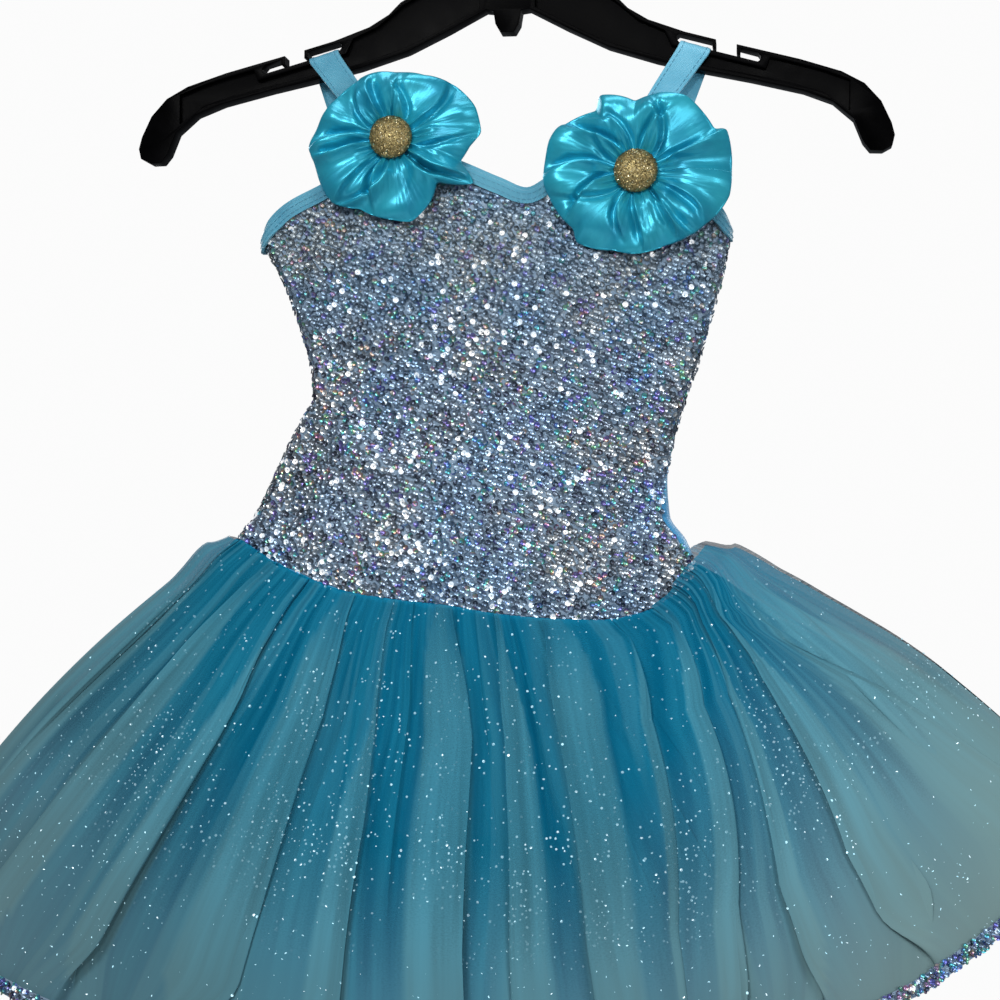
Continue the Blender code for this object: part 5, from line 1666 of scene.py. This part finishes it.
# Painted shade: the net's colour is multiplied towards this at the left and low down.
NET_SHADE = (1.0, 0.77, 0.71)
STREAK_SCALE = (150.0, 5.0, 1.0)
STRIP_SCALE = (75.0, 2.2, 1.0)
MIDDLE_HIP = (-0.02, 0.0, -0.40)


def net_finish(look):
    finish, tree, shader = new_finish(look.name)
    streaks = noise(tree, on_cloth(tree, STREAK_SCALE), Scale=1.0, Detail=3.0, Roughness=0.6)
    streak = spread_of(tree, streaks, 0.32, 0.68)
    strips = noise(tree, on_cloth(tree, STRIP_SCALE), Scale=1.0, Detail=1.0, Roughness=0.4)
    strip = spread_of(tree, strips, 0.53, 0.555)
    grain = noise(tree, on_cloth(tree), Scale=1400.0, Detail=2.0)
    from_hip = tree.nodes.new("ShaderNodeVectorMath")
    from_hip.operation = "SUBTRACT"
    from_hip.inputs[1].default_value = MIDDLE_HIP
    tree.links.new(in_space(tree), from_hip.inputs[0])
    distance = tree.nodes.new("ShaderNodeVectorMath")
    distance.operation = "LENGTH"
    tree.links.new(from_hip.outputs[0], distance.inputs[0])
    parts = parts_of(tree, from_hip.outputs[0])
    down = maths(tree, "MULTIPLY", parts_of(tree, on_cloth(tree))["Y"], -1.0)
    at_hem = spread_of(tree, down, 0.12, 0.19)
    far = spread_of(tree, distance.outputs["Value"], 0.13, 0.30)
    level = maths(tree, "DIVIDE", maths(tree, "ABSOLUTE", parts["X"]), distance.outputs["Value"])
    at_side = maths(tree, "MAXIMUM", spread_of(tree, level, 0.55, 0.92), far)
    to_right = spread_of(tree, parts["X"], -0.10, 0.20, 0.50, 1.0)
    lap = mark_of(tree, "lapped")
    cloth = mixed(tree, streak, look.deep, look.pale)
    cloth = mixed(tree, maths(tree, "MULTIPLY", strip, 0.4), cloth, look.lapped)
    plies = mixed(tree, streak, tuple(0.78 * c for c in look.lapped), tuple(1.15 * c for c in look.lapped))
    cloth = mixed(tree, lap, cloth, plies)
    greyer = maths(tree, "MULTIPLY", maths(tree, "MULTIPLY", far, to_right), 0.95)
    facing = put(tree, "ShaderNodeLayerWeight", Blend=0.25)
    from_seam = spread_of(tree, down, 0.015, 0.07, 0.1, 1.0)
    rim = maths(tree, "MULTIPLY", spread_of(tree, facing.outputs["Facing"], 0.35, 0.95), from_seam)
    cloth = mixed(tree, maths(tree, "MULTIPLY", rim, 0.3), mixed(tree, greyer, cloth, look.edge), look.edge)
    # Painted shade: the net is darkened at the left and towards the foot.
    to_left = spread_of(tree, parts["X"], -0.06, -0.17)
    to_foot = maths(tree, "MULTIPLY", spread_of(tree, parts["Z"], -0.08, -0.16), 0.5)
    shade = maths(tree, "ADD", maths(tree, "MULTIPLY", to_left, 0.85), to_foot, clamp=True)
    tree.links.new(mixed(tree, shade, cloth, NET_SHADE, "MULTIPLY"), shader.inputs["Base Color"])
    cover = look.cover
    for value, share in ((maths(tree, "SUBTRACT", streak, 0.5), look.cover_swing),
                         (maths(tree, "SUBTRACT", grain, 0.5), 0.4), (at_side, look.side_cover),
                         (at_hem, 0.5), (lap, 0.12), (strip, 0.05), (rim, 0.3)):
        cover = maths(tree, "ADD", maths(tree, "MULTIPLY", value, share), cover, clamp=True)
    tree.links.new(cover, shader.inputs["Alpha"])
    shader.inputs["Roughness"].default_value = 0.8
    shader.inputs["Specular IOR Level"].default_value = 0.05
    return finish


outer_net, inner_net = net_finish(OUTER_NET), net_finish(INNER_NET)
dot_finish = glitter_finish("net_glitter", (
    (0.0, (0.15, 0.42, 0.52)), (0.5, (0.38, 0.68, 0.78)), (0.82, (0.85, 0.96, 1.0)),
), 0.3, 0.1)
dot_shader = dot_finish.node_tree.nodes["Principled BSDF"]
# The glitter dots are given a glow: a painted sparkle, as they are no lamps.
dot_shader.inputs["Emission Color"].default_value = (0.6, 0.85, 0.95, 1.0)
dot_shader.inputs["Emission Strength"].default_value = 0.75


# %% Net layers and their glitter
def add_net(name, grid, lapped, finish):
    """An open ply of net, with a mark where it lies in three plies."""
    out = outward(grid, "front" if "front" in name else "back")
    faces = grid_faces(*grid.shape[:2], 0, turned_out(grid, out))
    item = add_mesh(name, grid.reshape(-1, 3), faces, finish, net_uv(grid))
    mark = item.data.attributes.new("lapped", "FLOAT", "POINT")
    mark.data.foreach_set("value", lapped.astype(np.float32).ravel())
    return item


def net_uv(grid):
    """Places on the net: along the hem, and down from the seam, in metres."""
    across = np.linalg.norm(np.diff(grid[-1], axis=0), axis=1)
    u = np.concatenate([[0], np.cumsum(across)])
    down = np.linalg.norm(np.diff(grid, axis=0), axis=2)
    v = np.concatenate([np.zeros((1, grid.shape[1])), np.cumsum(down, axis=0)], axis=0)
    return np.stack([np.broadcast_to(u, v.shape), -v], axis=2).reshape(-1, 2) * MM


def clusters(shape, seed):
    """Patches of more and less glitter, from 0.09 to 1, with more of it near the hem."""
    random = np.random.default_rng(seed)
    rough = random.uniform(0, 1, (9, 26))
    r = np.linspace(0, rough.shape[0] - 1, shape[0])
    c = np.linspace(0, rough.shape[1] - 1, shape[1])
    across = np.arange(rough.shape[0])
    rows = np.stack([np.interp(r, across, column) for column in rough.T], axis=1)
    fine = np.stack([np.interp(c, np.arange(rough.shape[1]), row) for row in rows])
    return np.clip(fine ** 3.5 * (0.6 + 1.2 * r / r[-1])[:, None], 0.09, 1.0)


dot = add_speck("dot", 0.58, 6)
for layer, finish, dots in ((INNER, inner_net, 5e4), (OUTER, outer_net, 16e4)):
    for face in ("front", "back"):
        steps = down_steps(layer.rows)
        grid, lapped = net_grid(face, layer, steps)
        net = add_net(f"skirt_{layer.name}_{face}_net", grid, lapped, finish)
        dress(net, "glitter_net", f"skirt_{layer.name}_{face}")
        ground = add_ground("ground", grid, outward(grid, face), clusters(grid.shape[:2], layer.seed + 40))
        glitter = scatter(f"glitter_{layer.name}_{face}", ground, dot, dot_finish, layer.seed + 50,
                          Spacing=1.6e-3, Density=dots, Tilt=0.5, Smallest=0.4, Largest=1.25, Lift=4e-4)
        drop(ground)
        dress(glitter, "glitter_net")

# %% [markdown]
# ## Sequin trim
# A narrow sequinned tape finishes the outer layer's hem. It is made from the last rows of the net, moved
# out a little, and the same sequins are scattered on it, smaller and closer.

# %% Sequin trim
trim_steps = np.linspace(1 - TRIM_WIDTH / SKIRT_LENGTH, 1.0, 6)
for face, seed in (("front", 61), ("back", 62)):
    grid, _ = net_grid(face, OUTER, trim_steps)
    out = outward(grid, face)
    tape = add_cloth(f"hem_trim_{face}_tape", grid + out * 0.9, out, 0.6, backing_finish)
    dress(tape, "sequin_trim", "hem_trim_" + face)
    ground = add_ground("ground", grid + out * 1.0, out, np.ones(grid.shape[:2]))
    sequins = scatter("trim_sequins_" + face, ground, sequin_cup, trim_finish, seed, Spacing=1.55e-3,
                      Density=1.2e6, Tilt=0.45, Smallest=0.75, Largest=0.92, Lift=9e-4)
    drop(ground)
    dress(sequins, "sequin_trim")

# %% [markdown]
# ## Hanger
# The hanger is a black injection moulding: a rim all round, sunk webs in the arms, and a slot with a lip
# for each strap. The solid has its true form, but moulded plastic has no sharp edges, so a copy of its mesh
# is merged, its flat faces joined, and every edge rounded with a Bevel modifier.

# %% Hanger
EDGE_ROUND = 0.7
PLASTIC_TONES = ((0.35, (0.0004, 0.0004, 0.0005)), (0.7, (0.0012, 0.0012, 0.0015)))


def plastic_finish():
    finish, tree, shader = new_finish("black_plastic")
    shader.inputs["Specular IOR Level"].default_value = 0.015
    grain = noise(tree, in_space(tree), Scale=60.0, Detail=4.0, Roughness=0.6)
    tree.links.new(ramp(tree, grain, PLASTIC_TONES), shader.inputs["Base Color"])
    tree.links.new(spread_of(tree, grain, 0.3, 0.7, 0.26, 0.40), shader.inputs["Roughness"])
    bump(tree, shader, noise(tree, in_space(tree), Scale=1500.0, Detail=2.0), 2e-5)
    return finish


def add_hanger():
    mesh = frame["nodes"]["hanger"].data.copy()
    work = bmesh.new()
    work.from_mesh(mesh)
    bmesh.ops.remove_doubles(work, verts=work.verts, dist=1e-6)
    bmesh.ops.dissolve_limit(work, angle_limit=math.radians(1.0), verts=work.verts, edges=work.edges)
    work.to_mesh(mesh)
    work.free()
    mesh.materials.clear()
    mesh.materials.append(plastic_finish())
    mesh.shade_smooth()
    item = bpy.data.objects.new("hanger_moulding", mesh)
    scene_items.link(item)
    rounding = item.modifiers.new("rounding", "BEVEL")
    rounding.width = EDGE_ROUND * MM
    rounding.segments = 3
    rounding.limit_method = "ANGLE"
    rounding.angle_limit = math.radians(40)
    rounding.harden_normals = True
    return dress(item, "hanger_plastic", "hanger")


add_hanger()

# %% Finish
drop(sequin_cup, flake, dot, thread)
